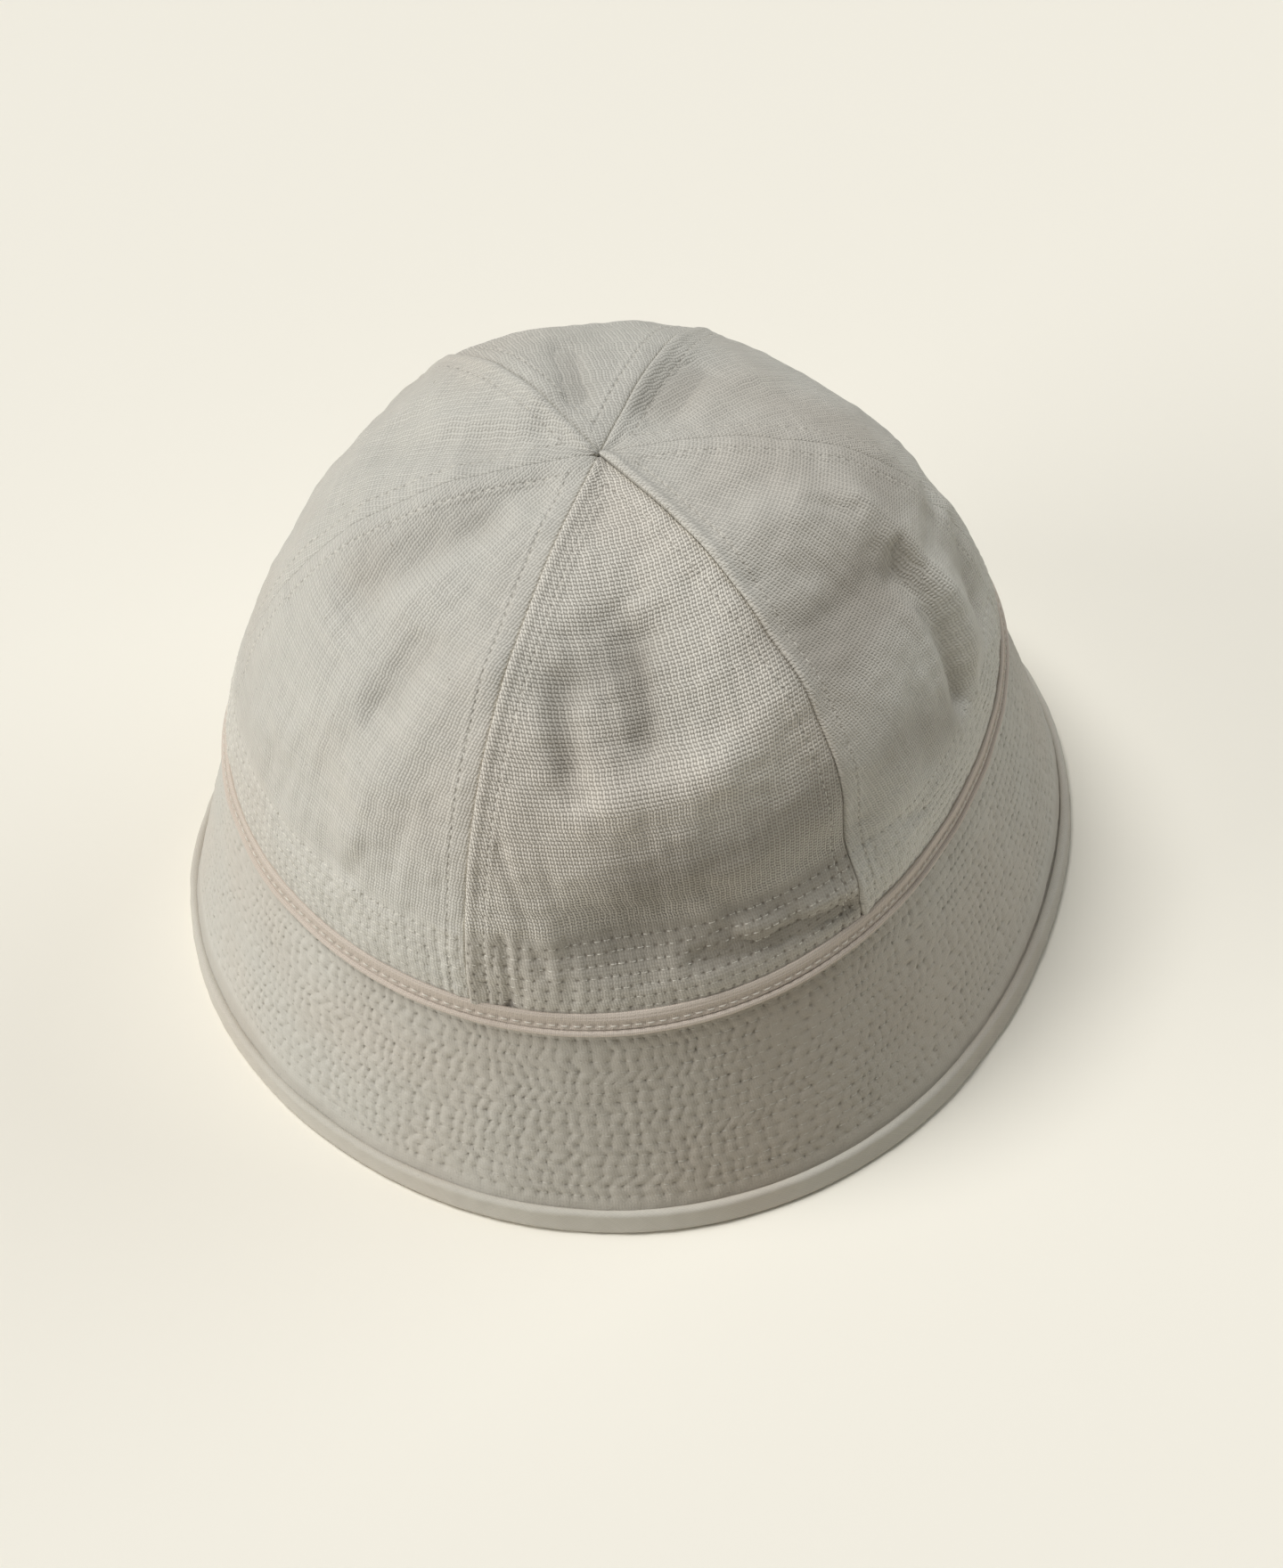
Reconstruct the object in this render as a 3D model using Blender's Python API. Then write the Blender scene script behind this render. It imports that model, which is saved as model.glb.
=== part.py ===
"""A soft canvas hat: six sewn gores, a narrow join tape, a steep quilted brim and its bound edge.

Units are metres, +Z is up and the hat stands on z = 0. Its front gore faces -Y. Every piece follows
one outer surface, hat_point(turn, along): turn goes round the hat in radians from the front gore
towards +X, and along goes up it, from -1 at the brim's edge through 0 at the join to 1 at the apex.
"""

from collections import namedtuple

import bpy
import numpy as np

# Driving dimensions of the outer surface.
HEAD_HALF_WIDTH = 0.0986  # half the head opening along X, at the join
HEAD_HALF_DEPTH = 0.0924  # half of it along Y
JOIN_HEIGHT = 0.0667  # the join line above the table
CROWN_RISE = 0.0869  # the apex above the join line
BRIM_FLARE = 0.0204  # how far the brim's edge stands out beyond the join
APEX_DRIFT = 0.0009  # how far the apex leans towards +X
GORE_FLATNESS = 0.0172  # how far a gore's middle falls inside the round, as a share of the radius

# Cloth.
CANVAS = 0.0015  # wall of a gore
QUILT = 0.0024  # wall of the brim: two canvases and what is quilted between them
TAPE = 0.0009  # wall of the join tape
TAPE_ROLL = 0.0015  # its rolled lower edge
BINDING = 0.0010  # one wall of the edge binding
SEAM_GAP = 0.0004  # between two gores
FIT_GAP = 0.0003  # between any two other pieces

# Where the pieces end, measured down the slant from the join line, or up it from the brim's edge.
GORE_FOOT = 0.0030
TAPE_TOP = -0.0004
TAPE_STEP = 0.0042
TAPE_FOOT = 0.0064
BINDING_TOP = 0.0071
BRIM_LIFT = 0.0019  # the brim's raw edge, inside the binding
APEX_HOLE = 0.990  # the gores' points stop here, short of the apex at 1
REST_HALF_WIDTH = 0.0012  # half the flat strip on which the bound edge rests
BINDING_CURL = 0.0005  # the outer face starts to turn under at this height
BINDING_BEND = 0.0020  # both faces are upright from this height on
BINDING_DRAW = 0.0002  # how far a face has drawn in where it starts to turn under

# Mesh resolution.
TURNS = 90
OUTLINE_STEPS = 360  # points of the brim's outline when its middle is worked out
GORE_COLUMNS = 12
GORE_ROWS = 21
ROW_CROWDING = 0.92  # below 1, a gore's rows lie closer together towards the apex
BRIM_ROWS = 3
PROBE = 1e-4  # step for the surface's normals, in radians and in shares
SHARP_DEG = 50  # edges that turn more than this stay crisp

CLOTH_COLOUR = (0.60, 0.565, 0.50, 1)
TAPE_COLOUR = (0.66, 0.58, 0.50, 1)
CLOTH_ROUGHNESS = 0.9

# A wave round the hat: how many times it repeats, where its first crest lies, how high it is.
Wave = namedtuple("Wave", "count crest_deg height")
JOIN_PLAN = (Wave(2, -45, 0.0426), Wave(3, 5, 0.0220))  # shares of the join's radius
JOIN_LIFT = (Wave(2, 90, 0.0028),)  # metres
FLARE = (Wave(1, 69, 0.0009), Wave(2, 68, 0.0004), Wave(3, 13, 0.0013))  # metres
SWELL = (Wave(1, 25, 0.0045), Wave(2, 46, 0.0282), Wave(3, 63, 0.0217))  # shares, at half height
SLUMP = (Wave(1, 0, 0.0562), Wave(2, -63, 0.0127))  # shares, one way low down and the other high up

# The crown's upright section: how full it is against an ellipse, from the join to the apex.
Station = namedtuple("Station", "rise fullness")
SECTION = (
    Station(0.0, 1.000),
    Station(0.2, 0.986),
    Station(0.4, 1.022),
    Station(0.6, 1.060),
    Station(0.8, 1.048),
    Station(1.0, 1.000),
)

# The seams, round the hat. Each gore lies between a seam and the next one.
Seam = namedtuple("Seam", "gore head_deg foot_deg sway_deg")
SEAMS = (
    Seam("front", -30, -28.2, 0.0),
    Seam("front_right", 30, 29.4, 0.3),
    Seam("back_right", 90, 90.0, 0.1),
    Seam("back", 150, 150.3, 0.9),
    Seam("back_left", 210, 209.8, -0.7),
    Seam("front_left", 270, 269.9, -0.3),
)

# A gore laid flat, which is the sheet that the folds are placed on.
GORE_HALF_WIDTH = 0.050
GORE_LENGTH = 0.142
MILLIMETRE = 0.001

# The main folds and dents. Each runs from one point of its gore to another. A point's across goes
# from -1 at the gore's first seam to 1 at its second, and its rise from 0 at the join to 1 at the
# apex. Width and depth are in millimetres, and a ridge has a negative depth.
Fold = namedtuple("Fold", "gore across_0 rise_0 across_1 rise_1 width depth")
FOLDS = (
    Fold("front", -0.57, 0.60, -0.47, 0.44, 4.0, 1.8),
    Fold("front", -0.54, 0.61, 0.02, 0.68, 5.5, 1.9),
    Fold("front", 0.04, 0.66, 0.00, 0.54, 13.0, 2.2),
    Fold("front", 0.07, 0.66, 0.04, 0.51, 5.0, 2.0),
    Fold("front", -0.25, 0.16, 0.95, 0.18, 13.0, 4.8),
    Fold("front", -0.20, 0.42, 0.35, 0.43, 6.0, -2.0),
    Fold("front", 0.35, 0.44, 0.95, 0.50, 7.0, -1.8),
    Fold("front_left", 0.10, 0.88, -0.10, 0.81, 5.0, 1.3),
    Fold("front_left", -0.20, 0.78, -0.40, 0.58, 6.0, 2.6),
    Fold("front_left", 0.26, 0.84, -0.06, 0.64, 6.0, -1.2),
    Fold("front_left", 0.32, 0.59, 0.27, 0.50, 5.5, 2.4),
    Fold("front_left", 0.20, 0.46, 0.05, 0.30, 6.0, 0.8),
    Fold("front_left", 0.78, 0.60, 0.36, 0.26, 6.0, -1.4),
    Fold("front_right", -0.20, 0.77, 0.70, 0.68, 5.0, 0.9),
    Fold("front_right", -0.60, 0.73, 0.15, 0.68, 7.0, -1.8),
    Fold("front_right", -0.62, 0.54, 0.00, 0.51, 10.0, 4.4),
    Fold("front_right", 0.42, 0.60, 0.34, 0.24, 5.0, -2.2),
    Fold("front_right", 0.20, 0.47, 0.07, 0.20, 4.5, 3.6),
    Fold("front_right", -0.30, 0.38, -0.40, 0.20, 4.0, 1.0),
    Fold("front_right", 0.75, 0.36, 0.70, 0.20, 7.0, 2.4),
    Fold("back_right", 0.10, 0.72, 0.05, 0.45, 20.0, -0.8),
    Fold("back_right", -0.55, 0.34, -0.20, 0.16, 8.0, 2.0),
    Fold("back_right", 0.30, 0.42, 0.48, 0.24, 7.0, 2.2),
    Fold("back", -0.05, 0.86, 0.00, 0.70, 18.0, -1.4),
    Fold("back", -0.40, 0.90, -0.25, 0.66, 6.0, 1.6),
    Fold("back", -0.30, 0.52, -0.10, 0.44, 8.0, 1.8),
    Fold("back", 0.30, 0.50, 0.40, 0.22, 11.0, 2.0),
    Fold("back_left", 0.00, 0.74, 0.00, 0.42, 21.0, -0.8),
    Fold("back_left", 0.40, 0.84, 0.15, 0.66, 7.0, 1.6),
    Fold("back_left", -0.45, 0.46, -0.20, 0.36, 7.0, 2.2),
    Fold("back_left", 0.30, 0.34, 0.05, 0.18, 9.0, 1.6),
)


def wave_sum(waves, turn):
    """The sum of some waves at each turn."""
    total = np.zeros_like(turn)
    for wave in waves:
        total = total + wave.height * np.cos(wave.count * (turn - np.radians(wave.crest_deg)))
    return total


def fullness(rise):
    """The section's fullness at each rise, on a smooth curve through the stations."""
    known = np.array([station.fullness for station in SECTION])
    slopes = np.gradient(known)
    place = np.clip(rise, 0, 1) * (len(known) - 1)
    low = np.minimum(place.astype(int), len(known) - 2)
    part = place - low
    start, end = known[low], known[low + 1]
    leave, arrive = slopes[low], slopes[low + 1]
    return (
        start * (1 + 2 * part) * (1 - part) ** 2
        + end * (3 - 2 * part) * part**2
        + leave * part * (1 - part) ** 2
        - arrive * (1 - part) * part**2
    )


def join_point(turn):
    """A point of the join line, where the crown meets the brim."""
    spread = 1 + wave_sum(JOIN_PLAN, turn)
    return np.stack(
        [
            HEAD_HALF_WIDTH * spread * np.sin(turn),
            -HEAD_HALF_DEPTH * spread * np.cos(turn),
            JOIN_HEIGHT + wave_sum(JOIN_LIFT, turn),
        ],
        -1,
    )


def edge_point(turn):
    """A point of the brim's edge, on the table, square out from the join line."""
    tangent = join_point(turn + PROBE) - join_point(turn - PROBE)
    outward = np.stack([tangent[..., 1], -tangent[..., 0]], -1)
    outward /= np.linalg.norm(outward, axis=-1, keepdims=True)
    flare = BRIM_FLARE + wave_sum(FLARE, turn)
    point = join_point(turn)
    point[..., :2] += outward * flare[..., None]
    point[..., 2] = 0
    return point


def seam_turn(seam, rise):
    """Where a seam lies round the hat, at each rise."""
    head, foot = np.radians(seam.head_deg), np.radians(seam.foot_deg)
    return head + (foot - head) * (1 - rise) + np.radians(seam.sway_deg) * np.sin(np.pi * rise)


def gore_seams(gore):
    """A gore's two seams, the second with its angles past the first's."""
    index = [seam.gore for seam in SEAMS].index(gore)
    first, second = SEAMS[index], SEAMS[(index + 1) % len(SEAMS)]
    if second.head_deg < first.head_deg:
        second = second._replace(head_deg=second.head_deg + 360, foot_deg=second.foot_deg + 360)
    return first, second


def fold_depth(turn, rise):
    """How far the folds and dents push the crown in."""
    depth = np.zeros_like(turn)
    for fold in FOLDS:
        first, second = (seam_turn(seam, rise) for seam in gore_seams(fold.gore))
        middle = (first + second) / 2
        offset = np.mod(turn - middle + np.pi, 2 * np.pi) - np.pi
        across = offset / (second - first) * 2 * GORE_HALF_WIDTH * np.cos(rise * np.pi / 2)
        length = rise * GORE_LENGTH
        start, end = (
            np.array([a * GORE_HALF_WIDTH * np.cos(r * np.pi / 2), r * GORE_LENGTH])
            for a, r in ((fold.across_0, fold.rise_0), (fold.across_1, fold.rise_1))
        )
        run = end - start
        share = ((across - start[0]) * run[0] + (length - start[1]) * run[1]) / (run @ run)
        share = np.clip(share, 0, 1)
        away = (across - start[0] - share * run[0]) ** 2 + (length - start[1] - share * run[1]) ** 2
        width = fold.width * MILLIMETRE
        depth = depth + fold.depth * MILLIMETRE * np.exp(-away / width**2)
    return depth


def crown_point(turn, rise):
    """A point of the crown's outer surface."""
    lift = rise * np.pi / 2
    mid = np.sin(2 * lift)
    from_seam = turn - np.radians(SEAMS[1].head_deg)
    flat = GORE_FLATNESS * (np.cos(len(SEAMS) * from_seam) - 1) / 2 * mid
    size = fullness(rise) * (
        1 + flat + wave_sum(SWELL, turn) * mid + wave_sum(SLUMP, turn) * mid * np.cos(2 * lift)
    )
    size = size * (1 - fold_depth(turn, rise) / HEAD_HALF_WIDTH)
    foot = join_point(turn)
    point = foot * (size * np.cos(lift))[..., None]
    point[..., 0] += APEX_DRIFT * np.sin(lift) ** 2
    point[..., 2] = (
        JOIN_HEIGHT + (foot[..., 2] - JOIN_HEIGHT) * (1 - rise) ** 2
        + CROWN_RISE * size * np.sin(lift)
    )
    return point


def bare_point(turn, along):
    """A point of the outer surface: the brim below along 0, the crown above it."""
    turn, along = np.broadcast_arrays(np.asarray(turn, float), np.asarray(along, float))
    down = np.clip(-along, 0, None)[..., None]
    brim = join_point(turn) * (1 - down) + edge_point(turn) * down
    return np.where(along[..., None] < 0, brim, crown_point(turn, np.clip(along, 0, 1)))


def plan_centre():
    """The middle of the brim's outline, which is set over the origin."""
    outline = edge_point(np.linspace(0, 2 * np.pi, OUTLINE_STEPS, endpoint=False))
    return (outline.min(axis=0) + outline.max(axis=0)) / 2 * np.array([1, 1, 0])


def hat_point(turn, along, stand=0.0):
    """A point of the outer surface, moved out along the surface's normal by stand."""
    turn, along = np.broadcast_arrays(np.asarray(turn, float), np.asarray(along, float))
    round_it = bare_point(turn + PROBE, along) - bare_point(turn - PROBE, along)
    up_it = bare_point(turn, along + PROBE) - bare_point(turn, along - PROBE)
    normal = np.cross(round_it, up_it)
    normal /= np.linalg.norm(normal, axis=-1, keepdims=True)
    return bare_point(turn, along) - plan_centre() + normal * np.asarray(stand)[..., None]


def slant_share(turn, drop):
    """A distance down the slant from the join line, as an along value."""
    slant = np.linalg.norm(join_point(turn) - edge_point(turn), axis=-1)
    return -drop / slant


def edge_share(turn, height):
    """A distance up the slant from the brim's edge, as an along value."""
    slant = np.linalg.norm(join_point(turn) - edge_point(turn), axis=-1)
    return height / slant - 1


def cloth(name, colour):
    """A matt cloth material."""
    material = bpy.data.materials.new(name)
    material.use_nodes = True
    shader = material.node_tree.nodes["Principled BSDF"]
    shader.inputs["Base Color"].default_value = colour
    shader.inputs["Roughness"].default_value = CLOTH_ROUGHNESS
    shader.inputs["Metallic"].default_value = 0.0
    material.diffuse_color = colour
    return material


def add_body(name, points, faces, colour):
    """One closed body as an object with its own material, shaded smooth up to its sharp edges."""
    mesh = bpy.data.meshes.new(name)
    mesh.from_pydata([tuple(point) for point in points], [], faces)
    mesh.materials.append(cloth(name + "_cloth", colour))
    mesh.shade_smooth()
    mesh.set_sharp_from_angle(angle=np.radians(SHARP_DEG))
    mesh.validate()
    body = bpy.data.objects.new(name, mesh)
    bpy.context.scene.collection.objects.link(body)
    return body


def shell_faces(rows, columns):
    """Faces of a closed wall: an outer sheet of rows and columns of points, then its inner sheet."""
    inner = rows * columns

    def corner(row, column):
        return row * columns + column

    faces = []
    for row in range(rows - 1):
        for column in range(columns - 1):
            ring = [
                corner(row, column),
                corner(row, column + 1),
                corner(row + 1, column + 1),
                corner(row + 1, column),
            ]
            faces.append(ring)
            faces.append([inner + index for index in reversed(ring)])
    border = (
        [corner(0, column) for column in range(columns)]
        + [corner(row, columns - 1) for row in range(1, rows)]
        + [corner(rows - 1, column) for column in range(columns - 2, -1, -1)]
        + [corner(row, 0) for row in range(rows - 2, 0, -1)]
    )
    for start, end in zip(border, border[1:] + border[:1]):
        faces.append([start, inner + start, inner + end, end])
    return faces


def add_gore(seam):
    """One gore: a thin wall between two seams, from under the tape to just short of the apex."""
    first, second = gore_seams(seam.gore)
    steps = np.linspace(0, 1, GORE_ROWS)
    rise = np.concatenate([[0.0], APEX_HOLE * steps[1:] ** ROW_CROWDING])
    share = np.linspace(0, 1, GORE_COLUMNS + 1)
    turns, alongs = [], []
    for row in range(-1, GORE_ROWS):
        height = rise[max(row, 0)]
        radius = HEAD_HALF_WIDTH * np.cos(height * np.pi / 2)
        trim = SEAM_GAP / 2 / radius
        low = seam_turn(first, height) + trim
        high = seam_turn(second, height) - trim
        turn = low + (high - low) * share
        turns.append(turn)
        alongs.append(slant_share(turn, GORE_FOOT) if row < 0 else np.full_like(turn, height))
    turn, along = np.array(turns), np.array(alongs)
    outer = hat_point(turn, along)
    inner = hat_point(turn, along, np.full_like(turn, -CANVAS))
    points = np.concatenate([outer.reshape(-1, 3), inner.reshape(-1, 3)])
    faces = shell_faces(GORE_ROWS + 1, GORE_COLUMNS + 1)
    return add_body("crown_panel_" + seam.gore, points, faces, CLOTH_COLOUR)


def add_ring(name, section, colour):
    """A ring round the whole hat, whose section is a closed loop of points at every turn.

    section(turn) gives the loop as rows of along and stand, with the loop running down the outside.
    """
    turns = np.linspace(0, 2 * np.pi, TURNS, endpoint=False)
    along, stand = section(turns)
    points = hat_point(np.broadcast_to(turns, along.shape), along, stand)
    points[..., 2] = np.maximum(points[..., 2], 0)
    loop = len(along)
    points = points.transpose(1, 0, 2).reshape(-1, 3)
    faces = []
    for turn in range(TURNS):
        here, there = turn * loop, (turn + 1) % TURNS * loop
        for index in range(loop):
            after = (index + 1) % loop
            faces.append([here + index, here + after, there + after, there + index])
    return add_body(name, points, faces, colour)


def brim_section(turns):
    """The brim's wall, from just under the gores to just inside the binding."""
    top = slant_share(turns, GORE_FOOT + FIT_GAP)
    foot = edge_share(turns, BRIM_LIFT)
    shares = np.linspace(0, 1, BRIM_ROWS + 1)[:, None]
    down = top + (foot - top) * shares
    along = np.concatenate([down, down[::-1]])
    stand = np.concatenate([np.zeros_like(down), np.full_like(down, -QUILT)])
    return along, stand


def tape_section(turns):
    """The join tape: a flat strip, then a step out to its rolled lower edge."""
    loop = (
        (TAPE_TOP, FIT_GAP + TAPE),
        (TAPE_STEP - TAPE, FIT_GAP + TAPE),
        (TAPE_STEP, FIT_GAP + TAPE_ROLL),
        (TAPE_FOOT - TAPE / 2, FIT_GAP + TAPE_ROLL),
        (TAPE_FOOT, FIT_GAP + TAPE_ROLL / 2),
        (TAPE_FOOT, FIT_GAP),
        (TAPE_TOP, FIT_GAP),
    )
    along = np.array([slant_share(turns, drop) for drop, _ in loop])
    stand = np.array([np.full_like(turns, stand) for _, stand in loop])
    return along, stand


def binding_section(turns):
    """The edge binding: a folded strip round the brim's edge, flat where it rests on the table."""
    out_face, out_slot = FIT_GAP + BINDING, FIT_GAP
    in_face, in_slot = -QUILT - FIT_GAP - BINDING, -QUILT - FIT_GAP
    middle = -QUILT / 2
    slot = BRIM_LIFT - FIT_GAP
    below = -2 * REST_HALF_WIDTH  # cut off at the table
    loop = (
        (BINDING_TOP, out_face),
        (BINDING_BEND, out_face),
        (BINDING_CURL, out_face - BINDING_DRAW),
        (below, middle + REST_HALF_WIDTH),
        (below, middle - REST_HALF_WIDTH),
        (BINDING_BEND, in_face + BINDING_DRAW),
        (BINDING_BEND + BINDING, in_face),
        (BINDING_TOP, in_face),
        (BINDING_TOP, in_slot),
        (slot, in_slot),
        (slot, out_slot),
        (BINDING_TOP, out_slot),
    )
    along = np.array([edge_share(turns, height) for height, _ in loop])
    stand = np.array([np.full_like(turns, stand) for _, stand in loop])
    return along, stand


def build_hat():
    """Every piece of the hat."""
    for old in list(bpy.data.objects):
        bpy.data.objects.remove(old)
    for seam in SEAMS:
        add_gore(seam)
    add_ring("join_tape", tape_section, TAPE_COLOUR)
    add_ring("brim", brim_section, CLOTH_COLOUR)
    add_ring("edge_binding", binding_section, CLOTH_COLOUR)


build_hat()
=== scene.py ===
"""The looks of a soft canvas hat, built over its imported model.

Units are metres, +Z is up and the hat stands on z = 0 with its front gore facing -Y. Every piece
follows one outer surface, HatShape.point(turn, along): turn goes round the hat in radians from the
front gore towards +X, and along goes up it, from -1 at the brim's edge through 0 at the join to 1 at
the apex.
"""

import logging
import math
from dataclasses import dataclass
from enum import Enum
from typing import Any, Callable, NamedTuple

import bpy
import numpy as np
from mathutils import Matrix, Vector


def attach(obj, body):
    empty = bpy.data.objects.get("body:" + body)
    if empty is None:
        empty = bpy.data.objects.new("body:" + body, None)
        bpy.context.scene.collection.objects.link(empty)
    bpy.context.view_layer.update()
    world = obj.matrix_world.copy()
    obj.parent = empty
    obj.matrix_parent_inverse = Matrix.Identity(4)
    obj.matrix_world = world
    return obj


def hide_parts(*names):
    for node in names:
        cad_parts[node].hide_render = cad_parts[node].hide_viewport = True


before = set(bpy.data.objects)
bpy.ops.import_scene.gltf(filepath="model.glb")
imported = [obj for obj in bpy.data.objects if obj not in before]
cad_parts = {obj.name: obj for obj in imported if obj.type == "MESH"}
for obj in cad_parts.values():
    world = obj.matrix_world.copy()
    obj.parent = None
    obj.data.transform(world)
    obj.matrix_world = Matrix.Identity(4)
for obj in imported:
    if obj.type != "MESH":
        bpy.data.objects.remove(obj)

Array = np.ndarray
Colour = tuple[float, float, float]
MM = 0.001
TURN = 2 * math.pi
log = logging.getLogger("hat")


# ---------------------------------------------------------------------------------------------
# The surface that the pieces follow.


class Wave(NamedTuple):
    """A wave round the hat: how many times it repeats, where its first crest lies, how high it is."""

    count: int
    crest_deg: float
    height: float


class Lap(Enum):
    """Which gore lies on top at a seam."""

    FIRST = -1.0
    LEVEL = 0.0
    SECOND = 1.0


class Seam(NamedTuple):
    """A seam of the crown. Each gore lies between its own seam and the next one."""

    gore: str
    head_deg: float
    foot_deg: float
    sway_deg: float
    lap: Lap
    welt_head: float
    welt_foot: float


class Fold(NamedTuple):
    """A fold of a gore, from one point to another.

    A point's across goes from -1 at the gore's first seam to 1 at its second, and its rise from 0 at
    the join to 1 at the apex. Width and depth are in millimetres, and a ridge has a negative depth.
    """

    gore: str
    across_0: float
    rise_0: float
    across_1: float
    rise_1: float
    width: float
    depth: float


SEAMS = (
    Seam("front", -30, -28.2, 0.0, Lap.SECOND, 0.8, 1.0),
    Seam("front_right", 30, 29.4, 0.3, Lap.SECOND, 1.6, 0.5),
    Seam("back_right", 90, 90.0, 0.1, Lap.LEVEL, 0.3, 0.3),
    Seam("back", 150, 150.3, 0.9, Lap.FIRST, 0.8, 0.6),
    Seam("back_left", 210, 209.8, -0.7, Lap.SECOND, 1.0, 0.7),
    Seam("front_left", 270, 269.9, -0.3, Lap.LEVEL, 0.3, 0.3),
)


def folds(**rows_by_gore: tuple[tuple[float, ...], ...]) -> tuple[Fold, ...]:
    """Folds from rows of across_0, rise_0, across_1, rise_1, width and depth, under their gore's name."""
    return tuple(Fold(gore, *row) for gore, rows in rows_by_gore.items() for row in rows)


MAIN_FOLDS = folds(
    front=(
        (-0.57, 0.60, -0.47, 0.44, 4.0, 1.8),
        (-0.54, 0.61, 0.02, 0.68, 5.5, 1.9),
        (0.04, 0.66, 0.00, 0.54, 13.0, 2.2),
        (0.07, 0.66, 0.04, 0.51, 5.0, 2.0),
        (-0.25, 0.16, 0.95, 0.18, 13.0, 4.8),
        (-0.20, 0.42, 0.35, 0.43, 6.0, -2.0),
        (0.35, 0.44, 0.95, 0.50, 7.0, -1.8),
    ),
    front_left=(
        (0.10, 0.88, -0.10, 0.81, 5.0, 1.3),
        (-0.20, 0.78, -0.40, 0.58, 6.0, 2.6),
        (0.26, 0.84, -0.06, 0.64, 6.0, -1.2),
        (0.32, 0.59, 0.27, 0.50, 5.5, 2.4),
        (0.20, 0.46, 0.05, 0.30, 6.0, 0.8),
        (0.78, 0.60, 0.36, 0.26, 6.0, -1.4),
    ),
    front_right=(
        (-0.20, 0.77, 0.70, 0.68, 5.0, 0.9),
        (-0.60, 0.73, 0.15, 0.68, 7.0, -1.8),
        (-0.62, 0.54, 0.00, 0.51, 10.0, 4.4),
        (0.42, 0.60, 0.34, 0.24, 5.0, -2.2),
        (0.20, 0.47, 0.07, 0.20, 4.5, 3.6),
        (-0.30, 0.38, -0.40, 0.20, 4.0, 1.0),
        (0.75, 0.36, 0.70, 0.20, 7.0, 2.4),
    ),
    back_right=(
        (0.10, 0.72, 0.05, 0.45, 20.0, -0.8),
        (-0.55, 0.34, -0.20, 0.16, 8.0, 2.0),
        (0.30, 0.42, 0.48, 0.24, 7.0, 2.2),
    ),
    back=(
        (-0.05, 0.86, 0.00, 0.70, 18.0, -1.4),
        (-0.40, 0.90, -0.25, 0.66, 6.0, 1.6),
        (-0.30, 0.52, -0.10, 0.44, 8.0, 1.8),
        (0.30, 0.50, 0.40, 0.22, 11.0, 2.0),
    ),
    back_left=(
        (0.00, 0.74, 0.00, 0.42, 21.0, -0.8),
        (0.40, 0.84, 0.15, 0.66, 7.0, 1.6),
        (-0.45, 0.46, -0.20, 0.36, 7.0, 2.2),
        (0.30, 0.34, 0.05, 0.18, 9.0, 1.6),
    ),
)

FINE_FOLDS = folds(
    front=(
        (-0.84, 0.34, -0.64, 0.10, 1.8, 0.8),
        (-0.82, 0.17, -0.81, 0.01, 1.4, 1.1),
        (-0.74, 0.18, -0.75, 0.03, 1.3, 0.6),
        (-0.50, 0.16, -0.53, 0.06, 1.8, 0.4),
        (0.10, 0.090, 0.50, 0.070, 3.0, 1.5),
        (0.55, 0.075, 0.93, 0.050, 3.0, 1.9),
        (0.35, 0.120, 0.95, 0.090, 2.6, -0.9),
        (0.22, 0.13, 0.34, 0.09, 2.2, 0.8),
        (0.55, 0.13, 0.62, 0.10, 2.4, 0.9),
        (-0.25, 0.52, 0.00, 0.50, 2.5, 0.5),
        (0.15, 0.20, 0.20, 0.14, 3.0, -0.5),
        (0.20, 0.34, 0.18, 0.22, 3.0, 0.4),
        (0.55, 0.36, 0.52, 0.22, 3.0, 0.4),
        (-0.45, 0.20, -0.10, 0.20, 9.0, 1.6),
        (-0.40, 0.40, -0.12, 0.43, 4.5, -0.9),
        (-0.55, 0.68, 0.12, 0.74, 3.0, 0.7),
        (0.10, 0.72, 0.12, 0.50, 3.0, -0.8),
        (-0.62, 0.58, -0.50, 0.48, 2.6, 0.7),
    ),
    front_left=(
        (-0.28, 0.42, -0.33, 0.20, 2.0, 0.35),
        (-0.12, 0.34, -0.20, 0.20, 2.2, 0.35),
        (0.48, 0.26, 0.38, 0.18, 2.4, 0.7),
        (0.66, 0.36, 0.60, 0.24, 2.4, 0.4),
        (-0.55, 0.92, -0.40, 0.84, 3.0, 0.5),
    ),
    front_right=(
        (0.20, 0.66, 0.34, 0.60, 2.2, 0.8),
        (-0.10, 0.42, -0.16, 0.26, 2.4, 0.6),
        (-0.72, 0.16, -0.50, 0.11, 2.2, 0.6),
        (-0.85, 0.66, -0.30, 0.60, 4.0, 1.0),
        (0.30, 0.50, 0.10, 0.18, 2.2, 1.5),
        (0.38, 0.42, 0.24, 0.16, 2.4, -0.8),
        (0.40, 0.43, 1.00, 0.42, 5.0, 1.6),
        (0.95, 0.34, 0.72, 0.22, 4.0, 1.2),
    ),
    back_right=(
        (0.30, 0.30, 0.22, 0.18, 3.0, 0.6),
        (0.35, 0.88, 0.58, 0.76, 4.5, 2.5),
        (-0.10, 0.80, 0.15, 0.70, 4.0, -0.8),
    ),
    back_left=(
        (-0.40, 0.28, -0.35, 0.17, 3.0, 0.6),
        (-0.30, 0.86, -0.22, 0.74, 4.0, -0.8),
        (-0.45, 0.80, -0.15, 0.64, 3.0, 0.7),
    ),
    back=(
        (-0.20, 0.24, -0.16, 0.16, 3.0, 0.5),
        (0.22, 0.88, 0.12, 0.77, 3.5, 2.3),
    ),
)

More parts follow.
